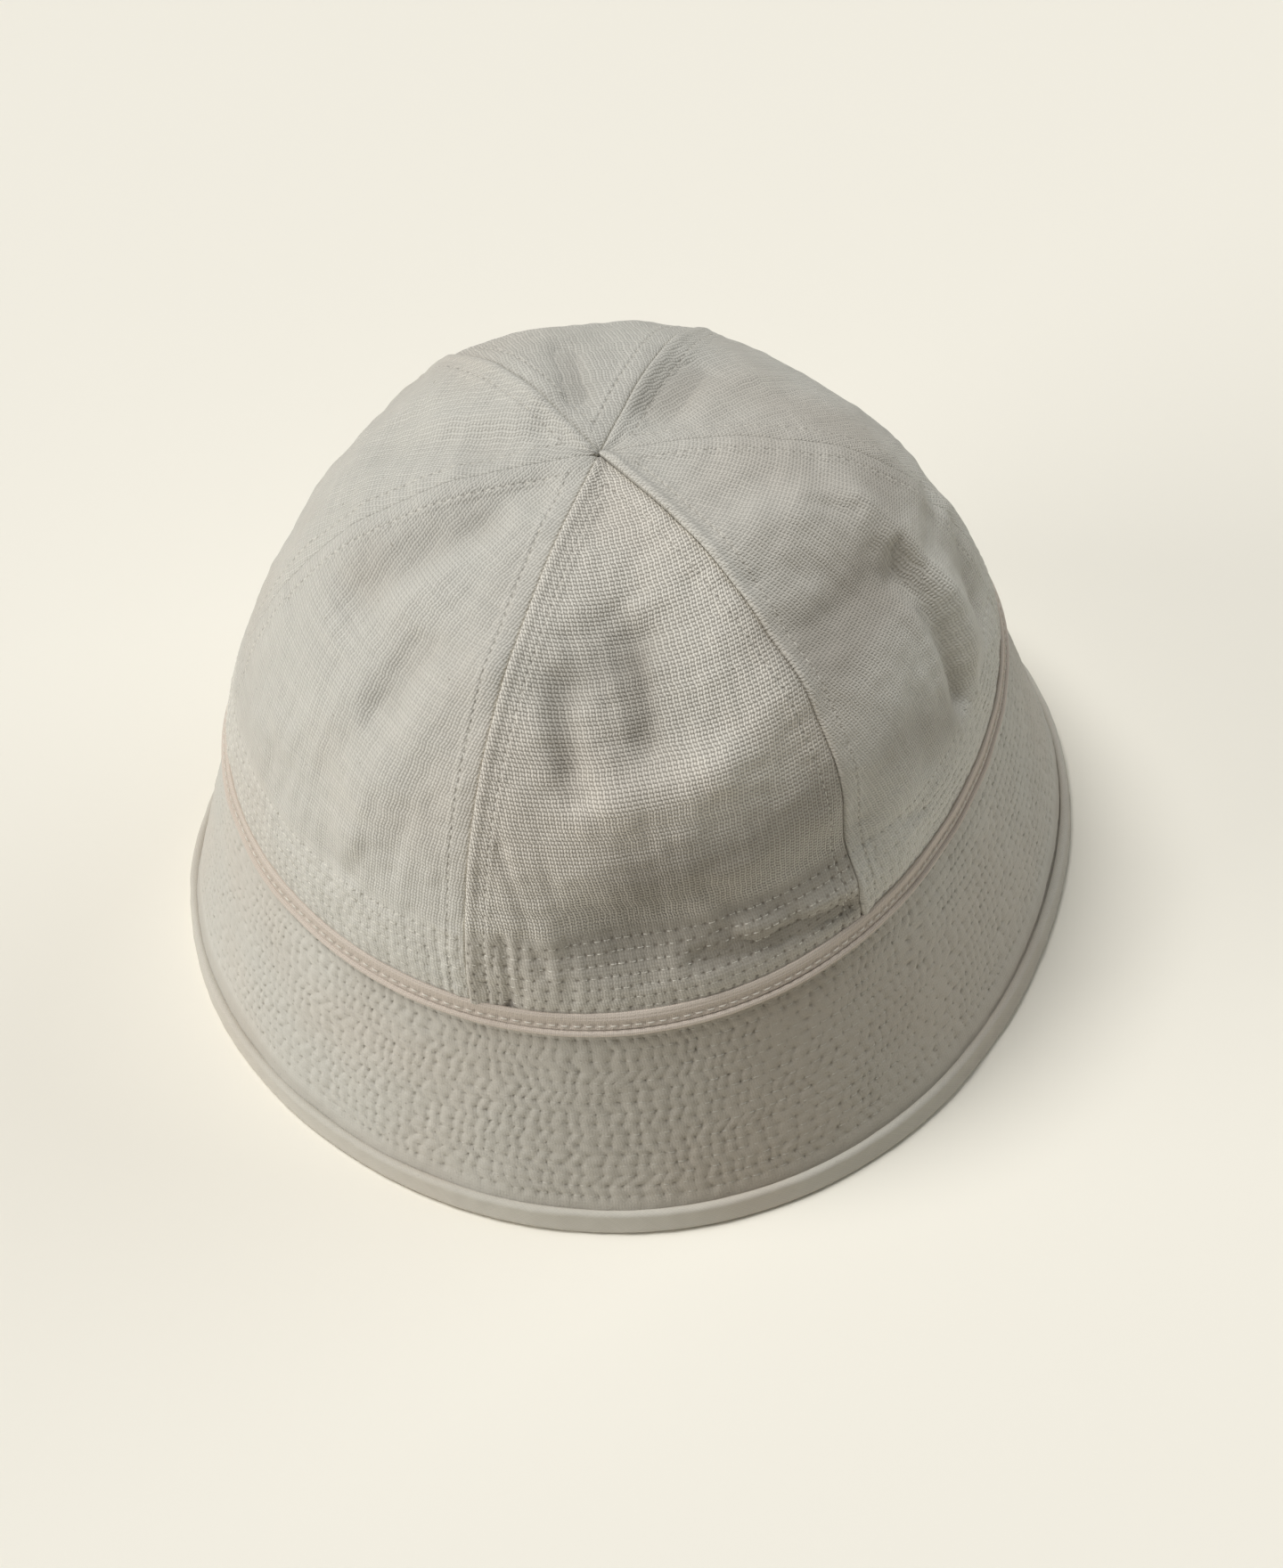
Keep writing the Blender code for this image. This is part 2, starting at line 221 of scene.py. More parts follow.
# Patches of painted shade on the cloth, greyer where the folds fall into shade, in the form of folds whose
# depth is the strength of the grey.
PAINTED_SHADE_PATCHES = folds(
    front=(
        (-0.10, 0.29, 0.85, 0.32, 11.0, 1.15),
        (-0.35, 0.14, -0.20, 0.20, 8.0, 0.35),
        (0.15, 0.09, 0.90, 0.06, 4.0, 0.55),
        (-0.42, 0.62, -0.05, 0.64, 6.0, 0.35),
        (0.00, 0.63, -0.03, 0.53, 4.0, 0.45),
        (-0.65, 0.59, -0.55, 0.48, 3.0, 0.45),
    ),
    front_right=(
        (-0.75, 0.51, -0.05, 0.50, 8.5, 1.8),
        (-0.60, 0.30, -0.10, 0.20, 9.0, 1.4),
        (0.65, 0.56, 0.95, 0.52, 8.0, 1.3),
        (0.80, 0.30, 0.80, 0.24, 5.0, 0.5),
    ),
    back=(
        (0.18, 0.86, 0.15, 0.80, 4.0, 0.5),
    ),
    back_right=(
        (0.42, 0.86, 0.55, 0.78, 5.0, 0.6),
        (-0.60, 0.60, -0.40, 0.45, 9.0, 0.6),
    ),
    front_left=(
        (-0.42, 0.80, -0.60, 0.62, 6.0, 0.5),
    ),
)


@dataclass(frozen=True)
class HatShape:
    """The hat's outer surface, before seams, stitches and fine creases."""

    head_half_width: float = 0.0986
    head_half_depth: float = 0.0924
    join_height: float = 0.0667
    crown_rise: float = 0.0869
    brim_flare: float = 0.0204
    apex_drift: float = 0.0009
    gore_flatness: float = 0.0172
    gore_half_width: float = 0.050
    gore_length: float = 0.142
    probe: float = 1e-4
    outline_steps: int = 360
    join_plan: tuple[Wave, ...] = (Wave(2, -45, 0.0426), Wave(3, 5, 0.0220))
    join_lift: tuple[Wave, ...] = (Wave(2, 90, 0.0028),)
    flare: tuple[Wave, ...] = (Wave(1, 69, 0.0009), Wave(2, 68, 0.0004), Wave(3, 13, 0.0013))
    swell: tuple[Wave, ...] = (Wave(1, 25, 0.0045), Wave(2, 46, 0.0282), Wave(3, 63, 0.0217))
    slump: tuple[Wave, ...] = (Wave(1, 0, 0.0562), Wave(2, -63, 0.0127))
    section: tuple[float, ...] = (1.000, 0.986, 1.022, 1.060, 1.048, 1.000)

    @staticmethod
    def wave_sum(waves: tuple[Wave, ...], turn: Array) -> Array:
        """The sum of some waves at each turn."""
        heights = (w.height * np.cos(w.count * (turn - math.radians(w.crest_deg))) for w in waves)
        return sum(heights, np.zeros_like(turn))

    def fullness(self, rise: Array) -> Array:
        """How full the upright section is against an ellipse.

        Args:
            rise: 0 at the join, 1 at the apex.

        Returns:
            The share at each rise, on a smooth curve through the stations.
        """
        known = np.array(self.section)
        slopes = np.gradient(known)
        place = np.clip(rise, 0, 1) * (len(known) - 1)
        low = np.minimum(place.astype(int), len(known) - 2)
        part = place - low
        return between(known[low], known[low + 1], slopes[low], slopes[low + 1], part)

    def join_point(self, turn: Array) -> Array:
        """A point of the join line, where the crown meets the brim.

        Args:
            turn: Turns round the hat.

        Returns:
            Points, not yet centred over the origin.
        """
        spread = 1 + self.wave_sum(self.join_plan, turn)
        width = self.head_half_width * spread * np.sin(turn)
        depth = -self.head_half_depth * spread * np.cos(turn)
        return np.stack([width, depth, self.join_height + self.wave_sum(self.join_lift, turn)], -1)

    def edge_point(self, turn: Array) -> Array:
        """A point of the brim's edge, on the table, square out from the join line.

        Args:
            turn: Turns round the hat.

        Returns:
            Points, not yet centred over the origin.
        """
        tangent = self.join_point(turn + self.probe) - self.join_point(turn - self.probe)
        outward = np.stack([tangent[..., 1], -tangent[..., 0]], -1)
        outward /= np.linalg.norm(outward, axis=-1, keepdims=True)
        flare = self.brim_flare + self.wave_sum(self.flare, turn)
        point = self.join_point(turn)
        point[..., :2] += outward * flare[..., None]
        point[..., 2] = 0
        return point

    @staticmethod
    def seam_turn(seam: Seam, rise: Array) -> Array:
        """Where a seam lies round the hat, at each rise."""
        head, foot, sway = (math.radians(deg) for deg in (seam.head_deg, seam.foot_deg, seam.sway_deg))
        return head + (foot - head) * (1 - rise) + sway * np.sin(math.pi * rise)

    @staticmethod
    def gore_seams(gore: str) -> tuple[Seam, Seam]:
        """A gore's two seams.

        Args:
            gore: The gore's name.

        Returns:
            Its first seam, and its second with angles past the first's.
        """
        index = [seam.gore for seam in SEAMS].index(gore)
        first, second = SEAMS[index], SEAMS[(index + 1) % len(SEAMS)]
        if second.head_deg < first.head_deg:
            second = second._replace(head_deg=second.head_deg + 360, foot_deg=second.foot_deg + 360)
        return first, second

    def crown_radius(self, rise: Array) -> Array:
        """About how far the crown's surface is from its axis at each rise."""
        return self.head_half_width * np.cos(rise * math.pi / 2)

    def fold_depth(self, table: tuple[Fold, ...], turn: Array, rise: Array) -> Array:
        """How far some folds push the crown in.

        Args:
            table: The folds to add up.
            turn: Turns of the points, in radians.
            rise: Rises of the points.

        Returns:
            Depths in metres, ridges negative.
        """
        depth = np.zeros_like(turn)
        for fold in table:
            first, second = (self.seam_turn(seam, rise) for seam in self.gore_seams(fold.gore))
            offset = np.mod(turn - (first + second) / 2 + math.pi, TURN) - math.pi
            across = offset / (second - first) * 2 * self.gore_half_width * np.cos(rise * math.pi / 2)
            length = rise * self.gore_length
            start, end = (
                np.array([a * self.gore_half_width * math.cos(r * math.pi / 2), r * self.gore_length])
                for a, r in ((fold.across_0, fold.rise_0), (fold.across_1, fold.rise_1))
            )
            run = end - start
            share = ((across - start[0]) * run[0] + (length - start[1]) * run[1]) / (run @ run)
            share = np.clip(share, 0, 1)
            away = (across - start[0] - share * run[0]) ** 2
            away = away + (length - start[1] - share * run[1]) ** 2
            depth = depth + fold.depth * MM * np.exp(-away / (fold.width * MM) ** 2)
        return depth

    def crown_point(self, turn: Array, rise: Array, folded: bool = True) -> Array:
        """A point of the crown's outer surface.

        Args:
            turn: Turns round the hat.
            rise: 0 at the join, 1 at the apex.
            folded: Whether the main folds are in it.

        Returns:
            Points, not yet centred over the origin.
        """
        lift = rise * math.pi / 2
        mid = np.sin(2 * lift)
        from_seam = turn - math.radians(SEAMS[1].head_deg)
        flat = self.gore_flatness * (np.cos(len(SEAMS) * from_seam) - 1) / 2 * mid
        bulge = self.wave_sum(self.swell, turn) + self.wave_sum(self.slump, turn) * np.cos(2 * lift)
        size = self.fullness(rise) * (1 + flat + bulge * mid)
        if folded:
            size = size * (1 - self.fold_depth(MAIN_FOLDS, turn, rise) / self.head_half_width)
        foot = self.join_point(turn)
        point = foot * (size * np.cos(lift))[..., None]
        point[..., 0] += self.apex_drift * np.sin(lift) ** 2
        swing = (foot[..., 2] - self.join_height) * (1 - rise) ** 2
        point[..., 2] = self.join_height + swing + self.crown_rise * size * np.sin(lift)
        return point

    def bare_point(self, turn: Array, along: Array) -> Array:
        """A point of the outer surface: the brim below along 0, the crown above it.

        Args:
            turn: Turns round the hat.
            along: Shares up the hat, from -1 to 1.

        Returns:
            Points, not yet centred over the origin.
        """
        down = np.clip(-along, 0, None)[..., None]
        brim = self.join_point(turn) * (1 - down) + self.edge_point(turn) * down
        crown = self.crown_point(turn, np.clip(along, 0, 1))
        return np.where(along[..., None] < 0, brim, crown)

    def plan_centre(self) -> Array:
        """The middle of the brim's outline, which is set over the origin."""
        outline = self.edge_point(np.linspace(0, TURN, self.outline_steps, endpoint=False))
        return (outline.min(axis=0) + outline.max(axis=0)) / 2 * np.array([1, 1, 0])

    def normal(self, turn: Array, along: Array) -> Array:
        """The outward direction at points of the surface.

        Args:
            turn: Turns round the hat.
            along: Shares up the hat, from -1 to 1.

        Returns:
            Directions of length one.
        """
        step = self.probe
        round_it = self.bare_point(turn + step, along) - self.bare_point(turn - step, along)
        up_it = self.bare_point(turn, along + step) - self.bare_point(turn, along - step)
        normal = np.cross(round_it, up_it)
        return normal / np.linalg.norm(normal, axis=-1, keepdims=True)

    def point(self, turn: Array, along: Array, stand: Array | float = 0.0) -> Array:
        """A point of the outer surface, moved out from it.

        Args:
            turn: Turns round the hat, in radians.
            along: Shares up the hat, from -1 to 1.
            stand: How far to move along the outward direction, in metres.

        Returns:
            Points, with a last axis of three.
        """
        turn, along, stand = np.broadcast_arrays(
            np.asarray(turn, float), np.asarray(along, float), np.asarray(stand, float)
        )
        base = self.bare_point(turn, along) - self.plan_centre()
        return base + self.normal(turn, along) * stand[..., None]

    def heading(self, turn: Array, along: Array, next_turn: Array, next_along: Array) -> Array:
        """The directions from some points of the surface to others.

        Args:
            turn: Turns of the points.
            along: Alongs of the points.
            next_turn: Turns of the points that they head for.
            next_along: Alongs of the points that they head for.

        Returns:
            Directions of length one.
        """
        run = self.point(next_turn, next_along) - self.point(turn, along)
        return run / np.linalg.norm(run, axis=1, keepdims=True)

    def slant(self, turn: Array) -> Array:
        """The brim's length down its slope at each turn."""
        return np.linalg.norm(self.join_point(turn) - self.edge_point(turn), axis=-1)

    def below_join(self, turn: Array, drop: Array | float) -> Array:
        """A distance down the slope from the join line, as an along value."""
        return -drop / self.slant(turn)

    def above_edge(self, turn: Array, height: Array | float) -> Array:
        """A distance up the slope from the brim's edge, as an along value."""
        return height / self.slant(turn) - 1


HAT = HatShape()


def bump_shape(distance: Array, width: float) -> Array:
    """A smooth hump: 1 where distance is nought, falling away over width."""
    return np.exp(-((distance / width) ** 2))


def ramp(value: Array, start: float, end: float) -> Array:
    """A smooth step from 0 at start to 1 at end, which may be the lower of the two."""
    share = np.clip((value - start) / (end - start), 0, 1)
    return share * share * (3 - 2 * share)


def turn_apart(turn: Array, degrees: float) -> Array:
    """How far turns lie from an angle, the shorter way round, in radians."""
    return np.mod(turn - math.radians(degrees) + math.pi, TURN) - math.pi


def between(start: Array, end: Array, leave: Array, arrive: Array, part: Array) -> Array:
    """A smooth curve from one value to another.

    Args:
        start: The first value.
        end: The second value.
        leave: The slope at the first.
        arrive: The slope at the second.
        part: How far along the curve, from 0 to 1.

    Returns:
        The value there.
    """
    return (
        start * (1 + 2 * part) * (1 - part) ** 2
        + end * (3 - 2 * part) * part**2
        + leave * part * (1 - part) ** 2
        - arrive * (1 - part) * part**2
    )


@dataclass(frozen=True)
class Ripple:
    """Smooth random relief: the usual distance from crest to crest, its height, and which one it is."""

    length: float
    height: float
    seed: int
    terms: int = 28
    lengths: tuple[float, float] = (0.7, 1.5)

    def over(self, points: Array) -> Array:
        """The relief over points in space.

        Args:
            points: Places, with a last axis of three, in metres.

        Returns:
            A height for each point, mostly within the ripple's own height either way.
        """
        chance = np.random.default_rng(self.seed)
        way = chance.normal(size=(self.terms, 3))
        way /= np.linalg.norm(way, axis=1, keepdims=True)
        way *= TURN / (self.length * chance.uniform(*self.lengths, (self.terms, 1)))
        shift = chance.uniform(0, TURN, self.terms)
        total = np.zeros(points.shape[:-1])
        for wave, start in zip(way, shift):
            total += np.cos(points @ wave + start)
        return self.height * (total / math.sqrt(self.terms))


# ---------------------------------------------------------------------------------------------
# Rows of stitches.


@dataclass(frozen=True)
class StitchRows:
    """Level rows of stitches round the hat, whose stitches drift against those of the next row."""

    rows: int
    first: float
    pitch: float
    round_count: int
    stitch: float
    drift: float
    seed: int
    unevenness: float = 0.10
    zigzag: float = 0.10
    furrow: float = 0.08
    hole: float = 0.38
    hole_length: float = 0.7 * MM
    hole_height: float = 0.9 * MM
    valley: float = 0.40
    skew: float = 0.07
    fade: tuple[float, float] = (0.9, 0.1)
    drift_waves: int = 7
    drift_counts: tuple[int, int] = (4, 23)
    drift_swings: tuple[float, float] = (0.4, 1.3)
    beat_counts: tuple[int, int] = (60, 110)
    sway_counts: tuple[int, int] = (5, 16)
    sway: float = 0.6
    fine_steps: int = 24

    def offsets(self, turn: Array) -> Array:
        """How far each row's stitches have slipped round.

        Args:
            turn: Turns round the hat, in radians.

        Returns:
            Slips in stitches, with a last axis of one entry a row.
        """
        chance = np.random.default_rng(self.seed)
        waves = self.drift_waves
        counts = chance.integers(*self.drift_counts, waves)
        starts = chance.uniform(0, TURN, waves)
        swings = chance.uniform(*self.drift_swings, waves) * chance.choice([-1, 1], waves)
        slips = []
        total = np.zeros_like(turn)
        for row in range(self.rows):
            drifts = [np.sin(c * turn + b + w * row) for c, b, w in zip(counts, starts, swings)]
            total = total + self.drift * sum(drifts)
            beat, sway = chance.integers(*self.beat_counts), chance.integers(*self.sway_counts)
            first, second = chance.uniform(0, TURN, 2)
            zigzag = (-1) ** row * self.zigzag * (1 + self.sway * np.sin(sway * turn + second))
            slips.append(total + self.unevenness * np.sin(beat * turn + first) + zigzag)
        return np.stack(slips, -1)

    def phase(self, turn: Array, row: Array) -> Array:
        """The count of stitches round the hat.

        Args:
            turn: Turns round the hat.
            row: Row numbers, which may be between rows.

        Returns:
            Counts, whole at the needle holes.
        """
        slips = self.offsets(turn)
        place = np.clip(row, 0, self.rows - 1)
        low = np.minimum(place.astype(int), self.rows - 2)
        part = place - low
        below, above = (np.take_along_axis(slips, (low + n)[..., None], -1)[..., 0] for n in (0, 1))
        return self.even_phase(turn) + below * (1 - part) + above * part

    def even_phase(self, turn: Array) -> Array:
        """The count of stitches round the hat, had none slipped."""
        return turn * self.round_count / TURN

    def row_of(self, distance: Array) -> Array:
        """The row number at a distance from the join, which may be between rows."""
        return (distance - self.first) / self.pitch

    def distance_of(self, row: int) -> float:
        """How far a row lies from the join."""
        return self.first + row * self.pitch

    def relief(self, phase: Array, row: Array) -> Array:
        """How the stitches pull the cloth in.

        Args:
            phase: Counts of stitches round the hat.
            row: Row numbers.

        Returns:
            Depths from 0 to about 1, deepest at the needle holes.
        """
        near = np.clip(np.round(row), 0, self.rows - 1)
        beside = (row - near) * self.pitch
        ahead = (phase - np.round(phase)) * self.stitch
        far, close = self.fade
        inside = ramp(row, -far, -close) * ramp(row, self.rows - close, self.rows - far)
        hole = bump_shape(ahead, self.hole_length) * bump_shape(beside, self.hole_height)
        skewed = phase + self.skew * np.sin(TURN * phase)
        valley = 1 - np.abs(np.sin(math.pi * skewed))
        groove = 0.5 + 0.5 * np.cos(TURN * row)
        return self.hole * hole + inside * (self.valley * valley + self.furrow * groove)

    def centres(self, row: int, start: float, end: float) -> Array:
        """Where the stitches of one row have their middles.

        Args:
            row: The row's number.
            start: The turn to start from.
            end: The turn to stop at.

        Returns:
            The middles' turns.
        """
        fine = np.linspace(start, end, self.fine_steps * self.round_count)
        phase = self.phase(fine, np.full_like(fine, row))
        wanted = np.arange(math.ceil(phase[0] - 0.5), math.floor(phase[-1] - 0.5) + 1) + 0.5
        return np.interp(wanted, phase, fine)


BAND_ROWS = StitchRows(7, 2.6 * MM, 3.1 * MM, 222, 2.7 * MM, drift=0.10, seed=11)
BRIM_ROWS = StitchRows(
    *(16, 6.9 * MM, 3.27 * MM, 208, 3.2 * MM), drift=0.11, seed=5, unevenness=0.12, zigzag=0.22, furrow=0.22
)
SEAM_STITCH = 2.3 * MM
SEAM_ROW = 4.5 * MM


# ---------------------------------------------------------------------------------------------
# Meshes.


@dataclass
class Cloth:
    """A grid of points and its flat maps, which becomes part of a mesh."""

    points: Array
    maps: dict[str, Array]
    wrap_rows: bool = False
    wrap_columns: bool = False

    def flat(self) -> tuple[Array, dict[str, Array]]:
        """The points and the maps as plain lists of rows."""
        return self.points.reshape(-1, 3), {key: v.reshape(-1, 2) for key, v in self.maps.items()}

    def corners(self, start: int) -> tuple[Array, Array]:
        """Numbers the grid's corners.

        Args:
            start: The first number.

        Returns:
            The numbers, and the vertex that each stands for where the grid wraps.
        """
        rows, columns = self.points.shape[:2]
        numbers = start + np.arange(rows * columns).reshape(rows, columns)
        owner = numbers.copy()
        if self.wrap_columns:
            owner[:, -1] = owner[:, 0]
        if self.wrap_rows:
            owner[-1] = owner[0]
        return numbers, owner


class MeshMaker:
    """Turns cloth grids into Blender objects."""

    SHARP_DEG = 60

    @staticmethod
    def quads(numbers: Array, flip: bool) -> list[list[int]]:
        """The faces of a grid.

        Args:
            numbers: The numbers of its corners.
            flip: Whether the faces are turned over.

        Returns:
            The corner numbers of each face.
        """
        ring = [numbers[:-1, :-1], numbers[:-1, 1:], numbers[1:, 1:], numbers[1:, :-1]]
        if flip:
            ring.reverse()
        return np.stack(ring, -1).reshape(-1, 4).tolist()

    @staticmethod
    def rim(outer: Array, inner: Array, step: int) -> list[list[int]]:
        """Faces between one border of a fine sheet and the same border of a coarser one.

        Args:
            outer: The fine border's corner numbers.
            inner: The coarse border's.
            step: How many cells of the fine border one of the coarse border spans.

        Returns:
            The corner numbers of each face.
        """
        faces = []
        for index in range(len(inner) - 1):
            fine = outer[index * step : (index + 1) * step + 1].tolist()
            faces.append(fine + [int(inner[index + 1]), int(inner[index])])
        return faces

    @classmethod
    def wall(cls, name: str, outer: Cloth, inner: Cloth, step: int) -> bpy.types.Object:
        """A closed wall: an outer sheet, a coarser inner sheet and the rim between them.

        Args:
            name: The piece's name.
            outer: The outer sheet, its rows going up the hat.
            inner: The inner sheet, with one row and column for every step of the outer one.
            step: How many of the outer sheet's cells one of the inner sheet's spans.

        Returns:
            The new object.
        """
        out, out_owner = outer.corners(0)
        ins, ins_owner = inner.corners(out.size)
        faces = cls.quads(out, False) + cls.quads(ins, True)
        faces += cls.rim(out[-1], ins[-1], step)
        faces += [face[::-1] for face in cls.rim(out[0], ins[0], step)]
        if not outer.wrap_columns:
            faces += [face[::-1] for face in cls.rim(out[:, -1], ins[:, -1], step)]
            faces += cls.rim(out[:, 0], ins[:, 0], step)
        (points, maps), (inner_points, inner_maps) = outer.flat(), inner.flat()
        points = np.concatenate([points, inner_points])
        maps = {key: np.concatenate([value, inner_maps[key]]) for key, value in maps.items()}
        owner = np.concatenate([out_owner.ravel(), ins_owner.ravel()])
        return cls.build(name, points, faces, maps, owner)

    @classmethod
    def tube(cls, name: str, cloth: Cloth) -> bpy.types.Object:
        """A ring of cloth whose section is a closed loop.

        Args:
            name: The piece's name.
            cloth: The cloth, which wraps both ways.

        Returns:
            The new object.
        """
        numbers, owner = cloth.corners(0)
        points, maps = cloth.flat()
        return cls.build(name, points, cls.quads(numbers, True), maps, owner.ravel())

    @staticmethod
    def build(
        name: str, points: Array, faces: list[list[int]], maps: dict[str, Array], owner: Array
    ) -> bpy.types.Object:
        """A mesh object from numbered corners.

        Args:
            name: The object's name.
            points: One place for each corner.
            faces: Corner numbers of each face, counted so that it faces outwards.
            maps: Flat maps by name, one pair for each corner.
            owner: The vertex that each corner stands for.

        Returns:
            The new object, shaded smooth up to its sharp edges.
        """
        kept, number = np.unique(owner, return_inverse=True)
        mesh = bpy.data.meshes.new(name)
        mesh.from_pydata(points[kept].tolist(), [], [number[face].tolist() for face in faces])
        corners = np.concatenate(faces)
        for key, value in maps.items():
            layer = mesh.uv_layers.new(name=key)
            layer.data.foreach_set("uv", value[corners].astype(np.float32).ravel())
        mesh.shade_smooth()
        mesh.set_sharp_from_angle(angle=math.radians(MeshMaker.SHARP_DEG))
        piece = bpy.data.objects.new(name, mesh)
        bpy.context.scene.collection.objects.link(piece)
        return piece


@dataclass(frozen=True)
class Thread:
    """Sewing thread that shows as short dashes, each dipping into its needle holes."""

    length: float
    radius: float = 0.15 * MM
    dip: float = 0.22 * MM
    sides: int = 5
    # The rings of a dash: each one's place, width and rise out of the cloth, as shares.
    rings: tuple[tuple[float, float, float], ...] = (
        (-0.5, 0.45, -1.0),
        (-0.32, 1.0, 0.0),
        (0.32, 1.0, 0.0),
        (0.5, 0.45, -1.0),
    )

    def dashes(self, name: str, middle: Array, run: Array, out: Array) -> bpy.types.Object:
        """One object with a dash at each place.

        Args:
            name: The object's name.
            middle: The places of the dashes' middles, one row each.
            run: The directions in which they lie.
            out: The directions that face away from the cloth.

        Returns:
            The new object.
        """
        side = np.cross(out, run)
        side /= np.linalg.norm(side, axis=1, keepdims=True)
        rows = []
        for place, width, rise in self.rings:
            centre = middle + run * place * self.length + out * rise * self.dip
            for angle in np.arange(self.sides) * TURN / self.sides:
                spoke = side * math.cos(angle) + out * math.sin(angle)
                rows.append(centre + spoke * width * self.radius)
        points = np.stack(rows, 1)
        count, each = points.shape[:2]
        numbers = np.arange(each).reshape(-1, self.sides)
        sleeve = MeshMaker.quads(np.column_stack([numbers, numbers[:, 0]]), False)
        faces = [*sleeve, numbers[0, ::-1].tolist(), numbers[-1].tolist()]
        every = [[corner + number * each for corner in face] for number in range(count) for face in faces]
        flat = points.reshape(-1, 3)
        maps = {"weave": np.zeros((len(flat), 2))}
        return MeshMaker.build(name, flat, every, maps, np.arange(len(flat)))


# ---------------------------------------------------------------------------------------------
# Materials.


def arithmetic(operation: str, swapped: bool = False) -> Callable[["Field", "Field | float"], "Field"]:
    """A method of Field that adds a Math node.

    Args:
        operation: What the node does.
        swapped: Whether the other value comes first.

    Returns:
        The method.
    """

    def method(self: "Field", other: "Field | float") -> "Field":
        """The result with another field or a number."""
        return self.shader.maths(operation, *((other, self) if swapped else (self, other)))

    return method


class Field:
    """One output of a shader node, with Python's arithmetic on it."""

    def __init__(self, shader: "Shader", socket: bpy.types.NodeSocket) -> None:
        """Wraps a socket of a shader."""
        self.shader, self.socket = shader, socket

    __add__ = __radd__ = arithmetic("ADD")
    __sub__, __rsub__ = arithmetic("SUBTRACT"), arithmetic("SUBTRACT", swapped=True)
    __mul__ = __rmul__ = arithmetic("MULTIPLY")
    __truediv__, __rtruediv__ = arithmetic("DIVIDE"), arithmetic("DIVIDE", swapped=True)
    __pow__ = arithmetic("POWER")


class Shader:
    """A material and the nodes that are added to it."""

    def __init__(self, name: str) -> None:
        """Makes an empty material with one surface shader.

        Args:
            name: The material's name.
        """
        self.material = bpy.data.materials.new(name)
        self.material.use_nodes = True
        self.tree = self.material.node_tree
        self.surface = self.tree.nodes["Principled BSDF"]

    def add(
        self, kind: str, settings: dict[str, Any], inputs: dict[str | int, Any], out: str | int = 0
    ) -> Field:
        """Adds one node.

        Args:
            kind: The node's type.
            settings: Its settings, which are set before its sockets.
            inputs: Numbers, vectors or fields for its sockets, by name or place.
            out: The output that is wanted, by name or place.

        Returns:
            That output.
        """
        node = self.tree.nodes.new(kind)
        for key, value in settings.items():
            setattr(node, key, value)
        for key, value in inputs.items():
            self.feed(node.inputs[key], value)
        return Field(self, node.outputs[out])

    def feed(self, socket: bpy.types.NodeSocket, value: Any) -> None:
        """Sets a socket.

        Args:
            socket: The socket.
            value: A number or a vector to set it to, or a field to link to it.
        """
        if isinstance(value, Field):
            self.tree.links.new(value.socket, socket)
        else:
            socket.default_value = value

    def finish(self, values: dict[str, Any]) -> bpy.types.Material:
        """Sets the surface shader's sockets.

        Args:
            values: Numbers, vectors or fields for its sockets, by name.

        Returns:
            The finished material.
        """
        for key, value in values.items():
            self.feed(self.surface.inputs[key], value)
        return self.material

    def bump(self, height: Field) -> Field:
        """A normal from a height in metres."""
        return self.add("ShaderNodeBump", {}, {"Strength": 1.0, "Distance": 1.0, "Height": height})

    def maths(self, operation: str, *values: "Field | float") -> Field:
        """A Math node on up to three values."""
        return self.add("ShaderNodeMath", {"operation": operation}, dict(enumerate(values)))

    def ease(self, value: Field, start: float, end: float) -> Field:
        """A smooth step.

        Args:
            value: What it follows.
            start: Where it is 0.
            end: Where it is 1, which may be the lower of the two.

        Returns:
            The step, from 0 to 1.
        """
        settings = {"interpolation_type": "SMOOTHSTEP", "clamp": True}
        inputs = {"Value": value, "From Min": start, "From Max": end}
        return self.add("ShaderNodeMapRange", settings, inputs)

    def flat(self, name: str) -> tuple[Field, Field]:
        """The two coordinates of a flat map."""
        place = {"Vector": self.add("ShaderNodeUVMap", {"uv_map": name}, {})}
        return tuple(self.add("ShaderNodeSeparateXYZ", {}, place, axis) for axis in "XY")

    def noise(self, place: Field, scale: float, detail: float = 2.0, rough: float = 0.5) -> Field:
        """Smooth random values from 0 to 1."""
        inputs = {"Vector": place, "Scale": scale, "Detail": detail, "Roughness": rough}
        return self.add("ShaderNodeTexNoise", {}, inputs, "Fac")

    def join(self, across: Field | float, along: Field | float, third: Field | float = 0.0) -> Field:
        """A vector of three values."""
        return self.add("ShaderNodeCombineXYZ", {}, {"X": across, "Y": along, "Z": third})

    def blend(self, share: Field | float, start: Any, end: Any, way: str = "MIX") -> Field:
        """A mix of two colours."""
        settings = {"data_type": "RGBA", "blend_type": way}
        return self.add("ShaderNodeMix", settings, {0: share, 6: start, 7: end}, 2)


def paint(colour: Colour) -> tuple[float, float, float, float]:
    """A screen colour from 0 to 255 as the linear colour that a shader takes."""
    shares = [value / 255 for value in colour]
    return (*(c / 12.92 if c <= 0.04045 else ((c + 0.055) / 1.055) ** 2.4 for c in shares), 1.0)


